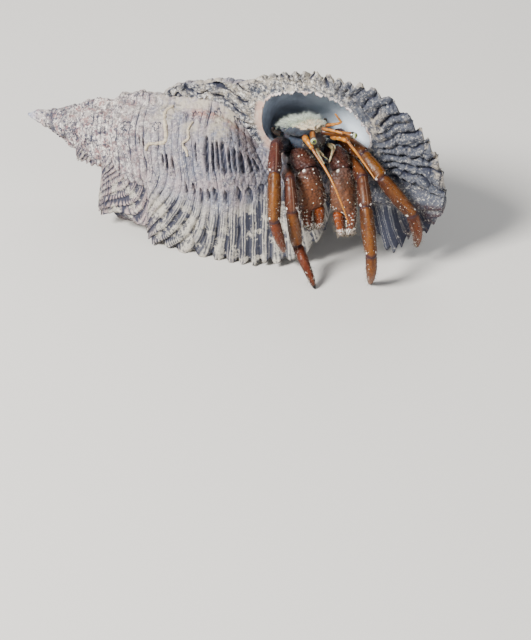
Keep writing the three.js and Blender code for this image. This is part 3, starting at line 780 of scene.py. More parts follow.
DARK_SPECK = (0.06, 0.06, 0.085)
SILT_COLORS = ((0.5, 0.44, 0.35), (0.26, 0.23, 0.2))
FILLING_COLORS = ((0.56, 0.52, 0.44), (0.24, 0.23, 0.22))
THREAD_DARK = (0.035, 0.035, 0.055)
GROOVE_DARK = (0.022, 0.026, 0.05)
SALMONS = ((0.56, 0.36, 0.28), (0.62, 0.48, 0.4))
RIM_COLORS = ((0.9, 0.8, 0.78), (0.55, 0.37, 0.31))
# Grey of the hollow towards the spire end of the opening: partly the porcelain's tint, partly painted
# shade.
INNER_GREYS_AND_SHADE = ((0.34, 0.39, 0.48), (0.54, 0.61, 0.73))
PEARL = (0.8, 0.9, 1.0)


def shell_material():
    n = Nodes("shell_finish", roughness=0.8)
    station, lip, crest, fan = n.field("station"), n.field("lipface"), n.field("crest"), n.field("fan")
    rim, callus, porcelain = n.field("rim"), n.field("callus"), n.field("porcelain")
    color = n.blend(*CLOUDS, 4.0, 5, 0.65, 0.42, 0.62)
    color = n.blend(color, DARK_CLOUD, 2.0, 5, 0.7, 0.47, 0.64)
    spire = n.ramp(station, 0.46, 0.2)
    color = n.coats(
        color,
        (SPIRE_BASE, spire, 0.75),
        (CREST, crest, 0.4),
        (SPIRE_CREAM, spire, n.blots(1.1, 5, 0.85, 0.5, 0.54)),
        (SPIRE_BROWN, spire, n.blots(1.7, 5, 0.8, 0.51, 0.55)),
        (SPIRE_BLACK, spire, n.blots(1.15, 5, 0.85, 0.51, 0.54)),
        (n.mix(*FAN_COLORS, n.ramp(station, 0.36, 0.42)), fan, n.blots(2.5, 4, 0.6, 0.3, 0.6, 0.25, 0.8)),
        (PINK_BAND, n.field("pinkband"), n.blots(1.2, 3, 0.6, 0.35, 0.55)),
        (TIP_BLUE, n.ramp(station, 0.05, 0.0), 0.8),
    )
    canal = n.math("MULTIPLY", n.ramp(station, 0.8, 0.88), 0.85)
    color = n.mix(color, n.blend(*LIP_BLUES, 1.6, 5, 0.7, 0.4, 0.65), n.math("MAXIMUM", lip, canal))
    color = n.coats(
        color,
        (LIP_CREST, lip, n.math("MULTIPLY", crest, 0.4)),
        (CANAL_PURPLE, n.field("purple"), n.blots(1.2, 4, 0.6, 0.35, 0.6)),
    )
    color = n.blend(color, PALE_SPECK, 0.55, 5, 0.8, 0.54, 0.63, 0, 0.9)
    color = n.blend(color, DARK_SPECK, 0.75, 5, 0.8, 0.53, 0.63, 0, 0.9)
    silt_color = n.blend(*SILT_COLORS, 0.7, 5, 0.75, 0.5, 0.68)
    silted = n.math("MULTIPLY", n.field("silt"), n.ramp(station, 0.2, 0.46, 0.2, 1.0))
    pale_lip = n.math("MULTIPLY", lip, n.ramp(station, 0.82, 0.68))
    color = n.coats(
        color,
        (silt_color, silted, n.blots(1.5, 4, 0.7, 0.36, 0.56)),
        (LIP_DARK, lip, n.blots(0.9, 5, 0.8, 0.5, 0.57, 0, 0.9)),
        (LIP_PALE, pale_lip, n.blots(0.8, 5, 0.85, 0.53, 0.58, 0, 0.9)),
        (THREAD_DARK, n.field("thread"), n.blots(1.8, 4, 0.6, 0.4, 0.6, 0.5, 0.95)),
    )
    color = n.mix(color, GROOVE_DARK, n.ramp(n.field("groove"), 0.12, 0.85, 0, 0.96))
    filling = n.blend(*FILLING_COLORS, 0.6, 5, 0.8, 0.5, 0.64)
    filled = n.math("MULTIPLY", fan, n.blots(3.4, 5, 0.75, 0.5, 0.58, 0, 0.85))
    color = n.coats(color, (filling, filled, n.ramp(station, 0.8, 0.7)))
    salmon = n.blend(*SALMONS, 1.3, 4, 0.6, 0.4, 0.65)
    color = n.mix(color, salmon, callus)
    rim_color = n.mix(salmon, n.blend(*RIM_COLORS, 2.0, 3, 0.6, 0.52, 0.66), n.ramp(station, 0.58, 0.62))
    color = n.mix(color, rim_color, n.ramp(rim, 0.3, 0.9))
    # Inside the hollow, grey-blue towards the spire end of the opening and pearl white towards the canal
    # end; the grey is partly the porcelain's own tint and partly painted shade.
    pearl = n.mix(n.blend(*INNER_GREYS_AND_SHADE, 5.0, 3, 0.6, 0.4, 0.65), PEARL, n.ramp(station, 0.64, 0.715))
    color = n.coats(color, (pearl, n.ramp(porcelain, 0.2, 0.8), n.ramp(rim, 0.9, 0.3)))
    shine = n.ramp(n.math("MAXIMUM", porcelain, callus), 0.2, 0.8, 0.85, 0.32)
    relief = n.math("ADD", n.noise(0.3, 4, 0.75), n.math("MULTIPLY", n.noise(1.1, 4, 0.7), 1.5))
    relief = n.math("MULTIPLY", relief, n.ramp(porcelain, 0.2, 0.8, 1.0, 0.0))
    return n.finish(color, relief, 0.16, shine)


# ---------------------------------------------------------------- crab: places, as in the solids

GAP = 0.3  # slot between two hard pieces at a joint
SHIELD_PLACE = np.array([13.35, -11.6, 26.1])
HEADING = 26.0
HEAD_UP = 18.0
SHIELD_LENGTH = 9.2
SHIELD_HALF_WIDTH = 3.9
SHIELD_HALF_DEPTH = 1.5

LEG_LENGTHS = (6.2, 9.7, 9.8)
LEG_PIECES = ("merus", "carpus", "propodus", "dactyl")
# Each leg's hip, first length, girth, headings and pitches, and how red and how dusky each piece is.
LEGS = [
    ("leg_right_rear", [9.9, -8.8, 21.8], 11.4, 1.35, [(-15, 28), (-2, -29), (-1, -58), (140, -70)],
     [(0.6, 0.9), (0.75, 0.65), (0.05, 0.14), (0.9, 0.1)]),
    ("leg_right_front", [9.5, -12.2, 17.9], 12.6, 1.3, [(3, 21), (8, -60), (150, -76), (37, -50.5)],
     [(0.5, 0.5), (0.35, 0.6), (0.3, 0.08), (0.9, 0.2)]),
    ("leg_left_front", [22.4, -12.3, 20.4], 9.5, 1.4, [(15, 5.5), (7, -39.5), (13, -58), (177, -70)],
     [(0.3, 0.35), (0.1, 0.5), (0.1, 0.18), (0.35, 0.0)]),
    ("leg_left_rear", [20.5, -8.5, 23.7], 9.3, 1.45, [(31, 1), (41, -30), (64, -44), (149, -74)],
     [(0.2, 0.2), (-0.25, 0.05), (0.1, 0.3), (0.7, 0.0)]),
]
LEG_OUTLINES = {
    "merus": [(0, 0.8), (0.2, 0.95, 1), (0.6, 1, 1.1), (0.9, 0.95, 1.05), (1.06, 0.85, 0.9)],
    "carpus": [(-0.14, 0.7), (0.1, 0.86, 0.9), (0.6, 1.02, 1.08), (0.9, 1.02, 1.05), (1.12, 0.9)],
    "propodus": [(-0.08, 0.82), (0.15, 0.98, 1.02), (0.6, 1.02, 1.05), (0.9, 0.92), (1.06, 0.84)],
    "dactyl": [(-0.06, 0.78), (0.2, 0.84), (0.5, 0.72), (0.75, 0.54), (0.92, 0.33), (1, 0.06)],
}
DACTYL_BOW = 0.7
# Where each leg's short first piece starts, under the body.
COXA_STARTS = {
    "leg_right_rear": [10.5, -8.6, 24.7],
    "leg_right_front": [11.6, -12.6, 21.2],
    "leg_left_front": [18.2, -9.7, 21.0],
    "leg_left_rear": [16.7, -9.5, 22.6],
}
# Each claw's inner side, the ends of its arm, wrist and palm, and its size.
CLAWS = [
    ("claw_right", 1, [13, -10.6, 21.1], [11.8, -15.7, 23.5], [13.8, -20.2, 22.7],
     [15.3, -23.2, 10.1], 1.0),
    ("claw_left", -1, [17.5, -10.2, 20.9], [19.7, -14.4, 23.3], [20.7, -19, 21.9],
     [21.8, -23.4, 8.6], 0.95),
]
ARM_HALF_WIDTH = 1.35
WRIST_HALF_WIDTH = 2.0
PALM_HALF_WIDTH = 2.75
PALM_HALF_DEPTH = 2.1
PALM_SHARE = 0.6
EYES = [
    ("right", [14.8, -15.8, 28.4], [14.9, -20.8, 29.7]),
    ("left", [16.9, -15.2, 28.5], [22.5, -18.3, 29.5]),
]
STALK_RADIUS = 0.62
CORNEA_RADIUS = 0.72
CORNEA_LENGTH = 1.1
FEELERS = {
    "antennule_right": [(16.8, -16.2, 29.8), (18.7, -17.7, 30.2), (20.9, -19.2, 30.4)],
    "antennule_left": [(17.6, -15.8, 30.3), (20.2, -18.5, 32.4), (20.1, -18.9, 33.3), (19.1, -19.1, 34.9)],
    "antenna_stem_right": [(13.2, -16, 27.7), (13.9, -17.6, 27.5), (14.8, -19.2, 26.7)],
    "antenna_stem_left": [(18.8, -15.3, 27.5), (20.5, -16.8, 28), (21.8, -18.4, 28.1)],
    "antenna_right": [(14.8, -19.2, 26.7), (18, -24.1, 23.6), (20.2, -27.1, 19.7), (22, -28.6, 15.1)],
    "antenna_left": [(21.8, -18.4, 28.1), (23.7, -22.1, 27.3), (25.2, -25.3, 26.6), (26.9, -28, 25.2)],
    "mouth_leg_right": [(15.8, -15.2, 24.9), (16.1, -17.6, 24.5), (17.2, -18.5, 22.8)],
    "mouth_leg_left": [(18.1, -14.3, 25.1), (18.9, -16.8, 25.2), (18.2, -18.2, 23.1)],
}
BRACES = {
    "leg_right_fourth": [(-4.2, -3.6, 0), (-5, -4.6, 0.72), (-4.8, -4.8, 1.68)],
    "leg_left_fourth": [(-2.6, 4.4, -0.24), (-2.6, 5.9, 0.48), (-2.4, 6.1, 1.56)],
}
ABDOMEN_START = 14.0
ABDOMEN_END = 150.0
ABDOMEN_RADIUS = 4.0
ABDOMEN_SHARES = (0.5, 0.62, 0.78, 0.74, 0.66, 0.6)
TAIL_RADII = (1.9, 1.8, 1.3, 0.8)
BRACE_RADII = (0.6, 0.5, 0.32)
TAIL_TURN = 26.0

forward = aim(HEADING, HEAD_UP)
left = np.array([math.cos(math.radians(HEADING)), math.sin(math.radians(HEADING)), 0])
upward = -np.cross(left, forward)
CAMERA_ELEVATION = 35.0
VIEWER = aim(0, CAMERA_ELEVATION)  # the direction from the animal to the photo's camera


def on_body(ahead, leftward, above):
    return SHIELD_PLACE + forward * ahead + left * leftward + upward * above


# ---------------------------------------------------------------- crab: lofts

# Masks of a loft's finish; the edge mask is painted shade on the sides, with dark streaks.
MASKS = ("joint", "white", "black", "stripe", "red", "dusk", "edge", "slate")
FLOOR_CLEARANCE = 0.02
RIM_TUCK = 0.14  # share that the rim at a joint draws in by
RIM_ROUND = 0.4  # how far from the joint it starts to
JOINT_SHADE = 0.7  # how far the dark color reaches from a joint
STREAK_TURN = 1.3  # how wide the streaks are sampled round a piece
STREAK_RUN = 0.2  # and along it, so that they are long
STREAK_STEP = 7.3  # keeps the streaks of two pieces apart
PATCHES = 8  # patches for hair along each side of the bake's map


class Limb:
    """A fine loft of one hard piece: its rings, the masks for its finish, and where hairs may root.

    An outline's rows are: share of the length, half width, half depth and sideways shift, against
    the width and depth given.
    """

    count = 0

    def __init__(self, start, end, up, width, depth, outline, rings, sides, bow=0.0):
        start = np.asarray(start, float)
        along = np.asarray(end, float) - start
        self.length = float(np.linalg.norm(along))
        self.ahead = along / self.length
        self.side = unit(np.cross(along, up))
        self.top = unit(np.cross(self.side, along))
        rows = [(r[0], r[1], r[2] if len(r) > 2 else r[1], r[3] if len(r) > 3 else 0) for r in outline]
        self.share = np.linspace(rows[0][0], rows[-1][0], rings)
        wide, deep, shift = curve_at(rows, self.share)
        angle = np.arange(sides) * TAU / sides
        lift = bow * np.sin(math.pi * np.clip(self.share, 0, 1))
        middle = start + self.share[:, None] * along + lift[:, None] * self.top
        self.middle = middle + (shift * width)[:, None] * self.side
        self.radius = width * wide
        across = self.radius[:, None, None] * np.cos(angle)[None, :, None] * self.side
        rise = (depth * deep)[:, None, None] * np.sin(angle)[None, :, None] * self.top
        self.grid = self.middle[:, None, :] + across + rise
        self.S, self.A = np.meshgrid(self.share, angle, indexing="ij")
        self.masks = {key: np.zeros(self.S.shape) for key in MASKS}
        # Darker towards the piece's two sides: painted shade.
        self.masks["edge"] = np.abs(np.cos(self.A)) ** 2.2
        self.number = Limb.count
        Limb.count += 1

    def outward(self):
        """Direction from the middle line at each point."""
        return unit(self.grid - self.middle[:, None, :])

    def cut(self, point, normal):
        """Ends the piece at a joint's plane, half the gap short of it, with a rounded rim."""
        point = np.asarray(point, float) - normal * GAP / 2
        inside = -np.einsum("ijk,k->ij", self.grid - point, normal)
        slope = float(self.ahead @ normal)
        past = np.minimum(inside, 0) / slope
        self.grid = self.grid + past[..., None] * self.ahead
        inside = np.maximum(inside, 0)
        tuck = RIM_TUCK * (1 - smooth(inside, 0, RIM_ROUND))
        axis = self.middle[:, None, :] + past[..., None] * self.ahead
        self.grid = axis + (self.grid - axis) * (1 - tuck)[..., None]
        self.masks["joint"] = np.maximum(self.masks["joint"], 1 - smooth(inside, 0.0, JOINT_SHADE))

    def swell(self, height):
        """Moves each point outwards by its height."""
        self.grid = self.grid + self.outward() * height[..., None]

    def granules(self, across, around, size, height, seed, keep, white, where=None):
        """Rounded bumps on a jittered lattice; some have white tips."""
        rng = np.random.default_rng(seed)
        total = np.zeros(self.S.shape)
        low, high = self.share[0] + 0.03, self.share[-1] - 0.02
        radius = self.radius[:, None]
        for i in range(across):
            for j in range(around):
                s = low + (high - low) * (i + rng.uniform(0.1, 0.9)) / across
                a = TAU * (j + rng.uniform(0.1, 0.9) + 0.5 * (i % 2)) / around
                grain, pale, strength = rng.uniform(0.7, 1.3), rng.random(), rng.uniform(0.5, 1.0)
                if rng.random() > keep or (where is not None and not where(s, a % TAU)):
                    continue
                off = (self.A - a + math.pi) % TAU - math.pi
                far = np.hypot((self.S - s) * self.length, off * radius) / (size * grain)
                mound = np.exp(-(far**2)) * strength
                total = np.maximum(total, mound)
                if pale < white * (0.25 + 0.75 * smooth(s, 0.35, 0.75)):
                    tip = np.exp(-((far / 0.7) ** 4)) * (0.6 + 0.4 * strength)
                    self.masks["white"] = np.maximum(self.masks["white"], tip)
        self.swell(total * height)

    def white_spot(self, middle, size):
        far = np.linalg.norm(self.grid - middle, axis=-1)
        self.masks["white"] = np.maximum(self.masks["white"], 1.2 * np.exp(-((far / size) ** 4)))

    def hairs(self, group, count, seed, length, lean=0.55, low=0.0, high=1.0, where=None, thick=0.022):
        """Roots hairs at random on the piece, leaning towards its end."""
        rng = np.random.default_rng(seed)
        out = self.outward()
        rings, sides = self.S.shape
        for _ in range(count):
            s, a = rng.uniform(low, high), rng.uniform(0, TAU)
            longer, jitter = rng.uniform(0.55, 1.25), rng.normal(0, 0.25, 3)
            if where is not None and not where(s, a):
                continue
            along = (s - self.share[0]) / (self.share[-1] - self.share[0])
            i = int(np.clip(along * (rings - 1), 0, rings - 1))
            j = int(a / TAU * sides) % sides
            direction = unit(out[i, j] + self.ahead * lean + jitter)
            root = self.grid[i, j] - out[i, j] * 0.05
            column, row = self.number % PATCHES, self.number // PATCHES
            patch = ((column + 0.05 + 0.9 * a / TAU) / PATCHES, (row + 0.05 + 0.9 * s) / PATCHES)
            HAIRS.setdefault(group, []).append((root, direction, length * longer, thick, patch))

    def build(self, name, nodes, slot, material):
        """Makes the object of the piece, with dark streaks added to the painted shade of its sides."""
        run = self.S * self.length * STREAK_RUN + STREAK_STEP * self.number
        place_in_noise = np.stack([STREAK_TURN * np.cos(self.A), STREAK_TURN * np.sin(self.A), run], -1)
        streak = smooth(rough(place_in_noise, 0.6, 3, 77), -0.1, 0.7)
        self.masks["edge"] = np.clip(self.masks["edge"] * 0.9 + 0.6 * streak, 0, 1)
        self.grid[..., 2] = np.maximum(self.grid[..., 2], FLOOR_CLEARANCE)
        place(grid_object(name, self.grid, self.masks), nodes, material)


HAIRS = {}  # the hairs rooted so far, by group
HAIR_RINGS = 4
HAIR_TAPER = 0.75
PATCH_STEP = 0.001  # sizes of one hair's patch in the bake's map: across, along and to its tip
PATCH_RUN = 0.0028
PATCH_TIP = 0.0029


def build_hairs(group, material):
    """All hairs of a group as one mesh of slim curved cones, each with a small patch in the bake's map."""
    rng = np.random.default_rng(len(group))
    points, faces, tips, patches = [], [], [], []
    for root, direction, length, thick, patch in HAIRS[group]:
        side = unit(np.cross(direction, [0.3, 0.2, 1.0]))
        top = np.cross(side, direction)
        bend = rng.normal(0, 0.22) * side + rng.normal(0, 0.22) * top + np.array([0, 0, -0.12])
        first = len(points)
        for k in range(HAIR_RINGS):
            t = k / HAIR_RINGS
            middle = root + direction * length * t + bend * length * t * t
            for c in range(3):
                spread = thick * (1 - HAIR_TAPER * t)
                turn = TAU * c / 3
                points.append(middle + spread * (math.cos(turn) * side + math.sin(turn) * top))
                tips.append(t)
                patches.append((patch[0] + PATCH_STEP * c, patch[1] + PATCH_RUN * t))
        points.append(root + direction * length + bend * length)
        tips.append(1.0)
        patches.append((patch[0] + PATCH_STEP, patch[1] + PATCH_TIP))
        for k in range(HAIR_RINGS - 1):
            for c in range(3):
                a, b = first + 3 * k + c, first + 3 * k + (c + 1) % 3
                faces.append([a, b, b + 3, a + 3])
        last = first + 3 * (HAIR_RINGS - 1)
        for c in range(3):
            faces.append([last + c, last + (c + 1) % 3, first + 3 * HAIR_RINGS])
        faces.append([first + 2, first + 1, first])
    points = np.array(points)
    points[:, 2] = np.maximum(points[:, 2], FLOOR_CLEARANCE)
    obj = new_object(group, points, faces, {"tip": tips})
    layer = obj.data.uv_layers.new(name="OFBake")
    loops = np.zeros(len(obj.data.loops), np.int32)
    obj.data.loops.foreach_get("vertex_index", loops)
    layer.data.foreach_set("uv", np.array(patches)[loops].astype(np.float32).reshape(-1))
    place(obj, [], material)


# ---------------------------------------------------------------- crab: legs

LEG_RINGS = 84
LEG_SIDES = 56
LEG_GRAINS = {"merus": 9, "carpus": 8, "propodus": 13, "dactyl": 15}
LEG_HAIRS = {"merus": (40, 0.8), "carpus": (50, 0.9), "propodus": (110, 1.0), "dactyl": (130, 0.95)}
PLUG_OUTLINE = [(0, 0.35), (0.12, 0.72), (0.5, 0.97), (0.88, 0.72), (1, 0.35)]
BALL_OUTLINE = [(0, 0.15), (0.07, 0.5), (0.2, 0.8), (0.35, 0.96), (0.5, 1), (0.8, 0.96), (1, 0.8)]
COXA_OUTLINE = [(-0.1, 0.6), (0.05, 0.95), (0.5, 1.05), (0.85, 1.0), (0.98, 0.92), (1.1, 0.7), (1.2, 0.3)]
LEG_DEPTH = 1.08  # against a leg's half width
PLUG_WIDTH = 0.86
PLUG_REACH = 0.75  # half length of a plug, against its radius
UP = np.array([0, 0, 1.0])


def at_sides(s, a):
    return abs(math.cos(a)) > 0.5


def mitre(before, joint, after):
    """The direction halfway between those of the pieces before and after a joint."""
    return unit(unit(joint - before) + unit(after - joint))


def joint_plug(plugs, before, joint, after, radius):
    """The dark skin that shows in the slot between two hard pieces."""
    reach = mitre(before, joint, after) * radius * PLUG_REACH
    plugs.append(Limb(joint - reach, joint + reach, VIEWER, radius, radius, PLUG_OUTLINE, 12, 24))


def leg_points(hip, merus, turns):
    points = [np.array(hip, float)]
    for length, turn in zip((merus, *LEG_LENGTHS), turns):
        points.append(points[-1] + aim(*turn) * length)
    return points


def build_leg(leg, materials, plugs, seed):
    name, hip, merus, girth, turns, tones = leg
    points = leg_points(hip, merus, turns)
    for i, piece in enumerate(LEG_PIECES):
        up = UP if piece == "merus" else aim(turns[1][0], 20)
        bow = DACTYL_BOW if piece == "dactyl" else 0
        size = (girth, girth * LEG_DEPTH)
        limb = Limb(points[i], points[i + 1], up, *size, LEG_OUTLINES[piece], LEG_RINGS, LEG_SIDES, bow)
        uneven = 0.035 * rough(limb.grid, 1.6, 3, seed + i) - 0.05 * bump(limb.S, 0.22, 0.05) * (i > 0)
        flat = -0.06 * np.abs(np.sin(2 * limb.A)) ** 2
        limb.swell(uneven + flat * (piece != "dactyl"))
        if i > 0:
            limb.cut(points[i], -mitre(*points[i - 1 : i + 2]))
        if i < 3:
            limb.cut(points[i + 1], mitre(*points[i : i + 3]))
            joint_plug(plugs, *points[i : i + 3], girth * PLUG_WIDTH)
        if piece == "merus" and name.startswith("leg_right"):
            inner_side = smooth(limb.outward()[..., 0], 0.0, 0.6)
            inner_slate = inner_side * (1 - smooth(limb.S, 0.72, 0.98))
            limb.masks["slate"] = np.maximum(1 - smooth(limb.S, 0.45, 0.75), inner_slate)
        red, dusk = tones[i]
        limb.masks["red"] += red
        limb.masks["dusk"] += dusk
        limb.masks["stripe"] = bump((limb.A - 0.55 * math.pi) % TAU, 0, 0.09) * (piece == "carpus")
        limb.granules(LEG_GRAINS[piece], 9, 0.12, 0.06, seed + 20 + i, 0.6, 0.4)
        limb.granules(LEG_GRAINS[piece] * 2, 12, 0.15, 0.1, seed + 60 + i, 0.5, 1.2, at_sides)
        if i < 3:
            for turn in (-0.9, 0.9):
                toward = VIEWER * math.cos(turn) + np.cross(limb.ahead, VIEWER) * math.sin(turn)
                limb.white_spot(points[i + 1] - limb.ahead * 0.45 + toward * girth, 0.3)
        if piece == "dactyl":
            limb.masks["black"] = smooth(limb.S, 0.9, 0.93)
        count, length = LEG_HAIRS[piece]
        limb.hairs("setae_legs", count, seed + 40 + i, length, low=0.05, high=0.93)
        limb.build(f"{name}_{piece}_shape", [f"{name}_{piece}"], "leg", materials["leg"])
    build_hip(name, points[0], aim(*turns[0]) * girth, girth, materials, plugs, seed)


def build_hip(name, hip, along, girth, materials, plugs, seed):
    """The round end of a leg and the short piece under the body that it sits on."""
    ball = Limb(hip - along * 1.05, hip + along, UP, girth * 1.1, girth * 1.12, BALL_OUTLINE, 40, 48)
    ball.swell(0.07 * rough(ball.grid, 1.2, 3, seed + 81))
    coxa = Limb(COXA_STARTS[name], hip, UP, girth * 0.88, girth * 0.95, COXA_OUTLINE, 60, 48)
    coxa.swell(0.06 * rough(coxa.grid, 1.4, 3, seed + 80) - 0.1 * bump(coxa.S, 0.4, 0.06))
    coxa.granules(6, 8, 0.16, 0.08, seed + 82, 0.6, 0.1)
    ball.masks["slate"] += name.startswith("leg_right")
    coxa.masks["slate"] += 1
    plugs.append(ball)
    if name.startswith("leg_right"):
        plugs.append(coxa)
    else:
        coxa.build(f"{name}_coxa_shape", [], "body", materials["body"])


# ---------------------------------------------------------------- crab: claws

ARM_OUTLINE = [(0, 0.8), (0.5, 1, 1), (1.15, 1, 1)]
WRIST_OUTLINE = [(-0.2, 0.7), (0.1, 0.88), (0.6, 1), (0.95, 0.98), (1.25, 0.8)]
# The last number of a row is a sideways shift, which outlined turns over for one of the claws.
PALM_OUTLINE = [
    (-0.06, 0.6, 0.7, 0), (0.02, 0.72, 0.82, 0), (0.12, 0.86, 0.98, 0), (0.3, 1, 1.08, 0),
    (0.48, 1.03, 1.04, 0), (PALM_SHARE - 0.05, 0.98, 0.95, 0), (PALM_SHARE + 0.005, 0.82, 0.86, 0.12),
    (PALM_SHARE + 0.05, 0.5, 0.8, 0.43), (0.7, 0.41, 0.72, 0.48), (0.8, 0.36, 0.62, 0.45),
    (0.93, 0.23, 0.4, 0.34), (0.985, 0.12, 0.2, 0.26), (1, 0.03, 0.05, 0.23),
]
FINGER_OUTLINE = [
    (PALM_SHARE + 0.01, 0.3, 0.55, -0.46), (PALM_SHARE + 0.04, 0.41, 0.72, -0.48),
    (0.72, 0.41, 0.7, -0.47), (0.8, 0.37, 0.62, -0.45),
    (0.93, 0.23, 0.4, -0.33), (0.985, 0.12, 0.2, -0.25), (1, 0.03, 0.05, -0.22),
]
CLAW_FACING = np.array([0, -1, 0.25])
CLAW_TIP = 0.97  # share of the claw's length where its bristles end
TOOTH_PITCH = 2.6  # turn of the teeth's wave for each millimetre
# Granules of the palm and the finger: across, around, size, height, seed, share kept, share white.
PALM_GRAINS = [
    (26, 18, 0.24, 0.2, 3, 0.85, 0.32), (30, 22, 0.2, 0.24, 13, 0.6, 1.0),
    (60, 13, 0.24, 0.26, 11, 0.85, 1.0),
]
FINGER_GRAINS = [(16, 11, 0.14, 0.11, 4, 0.8, 0.35), (26, 11, 0.24, 0.26, 12, 0.85, 1.0)]


def outlined(rows, outer):
    """The rows with their shifts turned to the claw's own side."""
    return [(share, wide, deep, shift * outer) for share, wide, deep, shift in rows]


def at_edges(s, a):
    return abs(math.cos(a)) > 0.8


def near_tips(s, a):
    return s > 0.87


def edges_and_tips(s, a):
    return abs(math.cos(a)) > 0.45 or s > 0.75


def teeth(limb, facing, start, full, height, turn):
    """Rounded teeth along the side of a finger that faces the other one."""
    edge = smooth(facing, 0.88, 1) * between(limb.S, start, full, 0.93, 0.97)
    limb.swell(edge * height * np.abs(np.sin(limb.S * limb.length * TOOTH_PITCH + turn)))


def build_claw(claw, materials, plugs, seed):
    name, inner, *places, girth = claw
    points = [np.array(p, float) for p in places]
    bends = mitre(*points[:3]), mitre(*points[1:])
    outer = -1 if np.cross(points[3] - points[2], CLAW_FACING)[0] * inner > 0 else 1
    arm_size, wrist_size = ARM_HALF_WIDTH * girth, WRIST_HALF_WIDTH * girth
    palm_size = (PALM_HALF_WIDTH * girth, PALM_HALF_DEPTH * girth)
    arm = Limb(points[0], points[1], UP, arm_size, arm_size, ARM_OUTLINE, 60, 56)
    wrist = Limb(points[1], points[2], UP, wrist_size, wrist_size, WRIST_OUTLINE, 90, 84)
    palm = Limb(points[2], points[3], CLAW_FACING, *palm_size, outlined(PALM_OUTLINE, outer), 150, 110)
    finger = Limb(points[2], points[3], CLAW_FACING, *palm_size, outlined(FINGER_OUTLINE, outer), 90, 64)
    arm.cut(points[1], bends[0])
    wrist.swell(0.05 * rough(wrist.grid, 1.5, 3, seed))
    wrist.granules(13, 15, 0.26, 0.24, seed + 1, 0.8, 0.06)
    wrist.cut(points[1], -bends[0])
    wrist.cut(points[2], bends[1])
    palm.swell(0.09 * rough(palm.grid, 1.5, 4, seed + 2))
    for limb, grains, where in (
        (palm, PALM_GRAINS[0], None), (palm, PALM_GRAINS[1], at_edges), (finger, FINGER_GRAINS[0], None),
        (palm, PALM_GRAINS[2], near_tips), (finger, FINGER_GRAINS[1], near_tips),
    ):
        across, around, size, height, own_seed, keep, white = grains
        limb.granules(across, around, size, height, seed + own_seed, keep, white, where)
    teeth(palm, -outer * np.cos(palm.A), 0.63, 0.68, 0.1, 0)
    teeth(finger, outer * np.cos(finger.A), 0.65, 0.7, 0.08, 1.4)
    palm.cut(points[2], -bends[1])
    # Dusky arm and wrist; on the wrist the dusk is painted shade, for the shade that it sits in.
    for piece, dusk in ((arm, 0.9), (wrist, 0.6)):
        piece.masks["dusk"] += dusk
    palm.masks["dusk"] += 0.6 * (1 - smooth(palm.S, 0.0, 0.22)) * smooth(np.sin(palm.A), -0.2, 0.6)
    palm.masks["red"] += smooth(palm.S, 0.45, 0.85)
    # Both palms paled a little, the left one more; the extra on the left is painted light, lifting it out
    # of its shade.
    palm.masks["stripe"] += 0.04 if inner > 0 else 0.12
    finger.masks["red"] += 1.0
    for piece in (palm, finger):
        piece.masks["black"] = smooth(piece.S, 0.955, 0.97)
    palm.white_spot(points[2] + VIEWER * 1.7 + np.array([-0.9, 0, -0.4]), 0.42)
    wrist.white_spot(points[2] + VIEWER * 1.9 + np.array([1.2, 0.4, 0.6]), 0.36)
    arm.hairs("setae_claws", 50, seed + 5, 0.8)
    wrist.hairs("setae_claws", 220, seed + 6, 0.75)
    palm.hairs("setae_claws", 620, seed + 7, 0.85, low=0.02, high=CLAW_TIP, where=edges_and_tips)
    palm.hairs("setae_claws", 60, seed + 8, 0.8, lean=0.8, low=0.88, high=CLAW_TIP, thick=0.055)
    finger.hairs("setae_claws", 200, seed + 9, 0.9, low=0.64, high=CLAW_TIP)
    finger.hairs("setae_claws", 46, seed + 10, 0.8, lean=0.8, low=0.9, high=CLAW_TIP, thick=0.055)
    for piece, part in ((arm, "merus"), (wrist, "carpus"), (palm, "palm")):
        piece.build(f"{name}_{part}_shape", [f"{name}_{part}"], "claw", materials["claw"])
    finger.build(f"{name}_finger_shape", [f"{name}_finger"], "finger", materials["finger"])
    joint_plug(plugs, *points[:3], arm_size * 0.92)
    joint_plug(plugs, *points[1:], wrist_size * 0.72)


# ---------------------------------------------------------------- crab: body, head and rear

SHIELD_OUTLINE = [
    (-0.02, 0.3, 0.25), (0, 0.72, 0.5), (0.08, 0.92, 0.8), (0.35, 1, 1), (0.7, 0.9, 0.95),
    (0.93, 0.74, 0.7), (1, 0.45, 0.45), (1.01, 0.1, 0.1),
]
SHIELD_SQUARENESS = 2.7
CHEST_OUTLINE = [
    (0, 0.5, 0.55), (0.05, 0.8, 0.85), (0.12, 0.95, 0.95), (0.5, 1, 1), (0.85, 0.8, 0.9),
    (0.97, 0.6, 0.7), (1, 0.4, 0.5),
]
LEG_BASES_OUTLINE = [(0, 0.5, 0.6), (0.15, 0.9, 0.9), (0.5, 1, 1), (0.85, 0.9, 0.9), (1, 0.5, 0.6)]
HEAD_OUTLINE = [(0, 0.7), (0.3, 0.95), (0.7, 0.85), (0.93, 0.6), (1, 0.3)]


def body_limb(start, end, *form):
    return Limb(on_body(*start), on_body(*end), upward, *form)


def shield_front(s, a):
    return s > 0.7 and math.sin(a) > 0


def shield_top(s, a):
    return math.sin(a) > (0.75 if math.cos(a) > 0.2 else 0.35)


def shield_upper(s, a):
    return math.sin(a) > 0.45


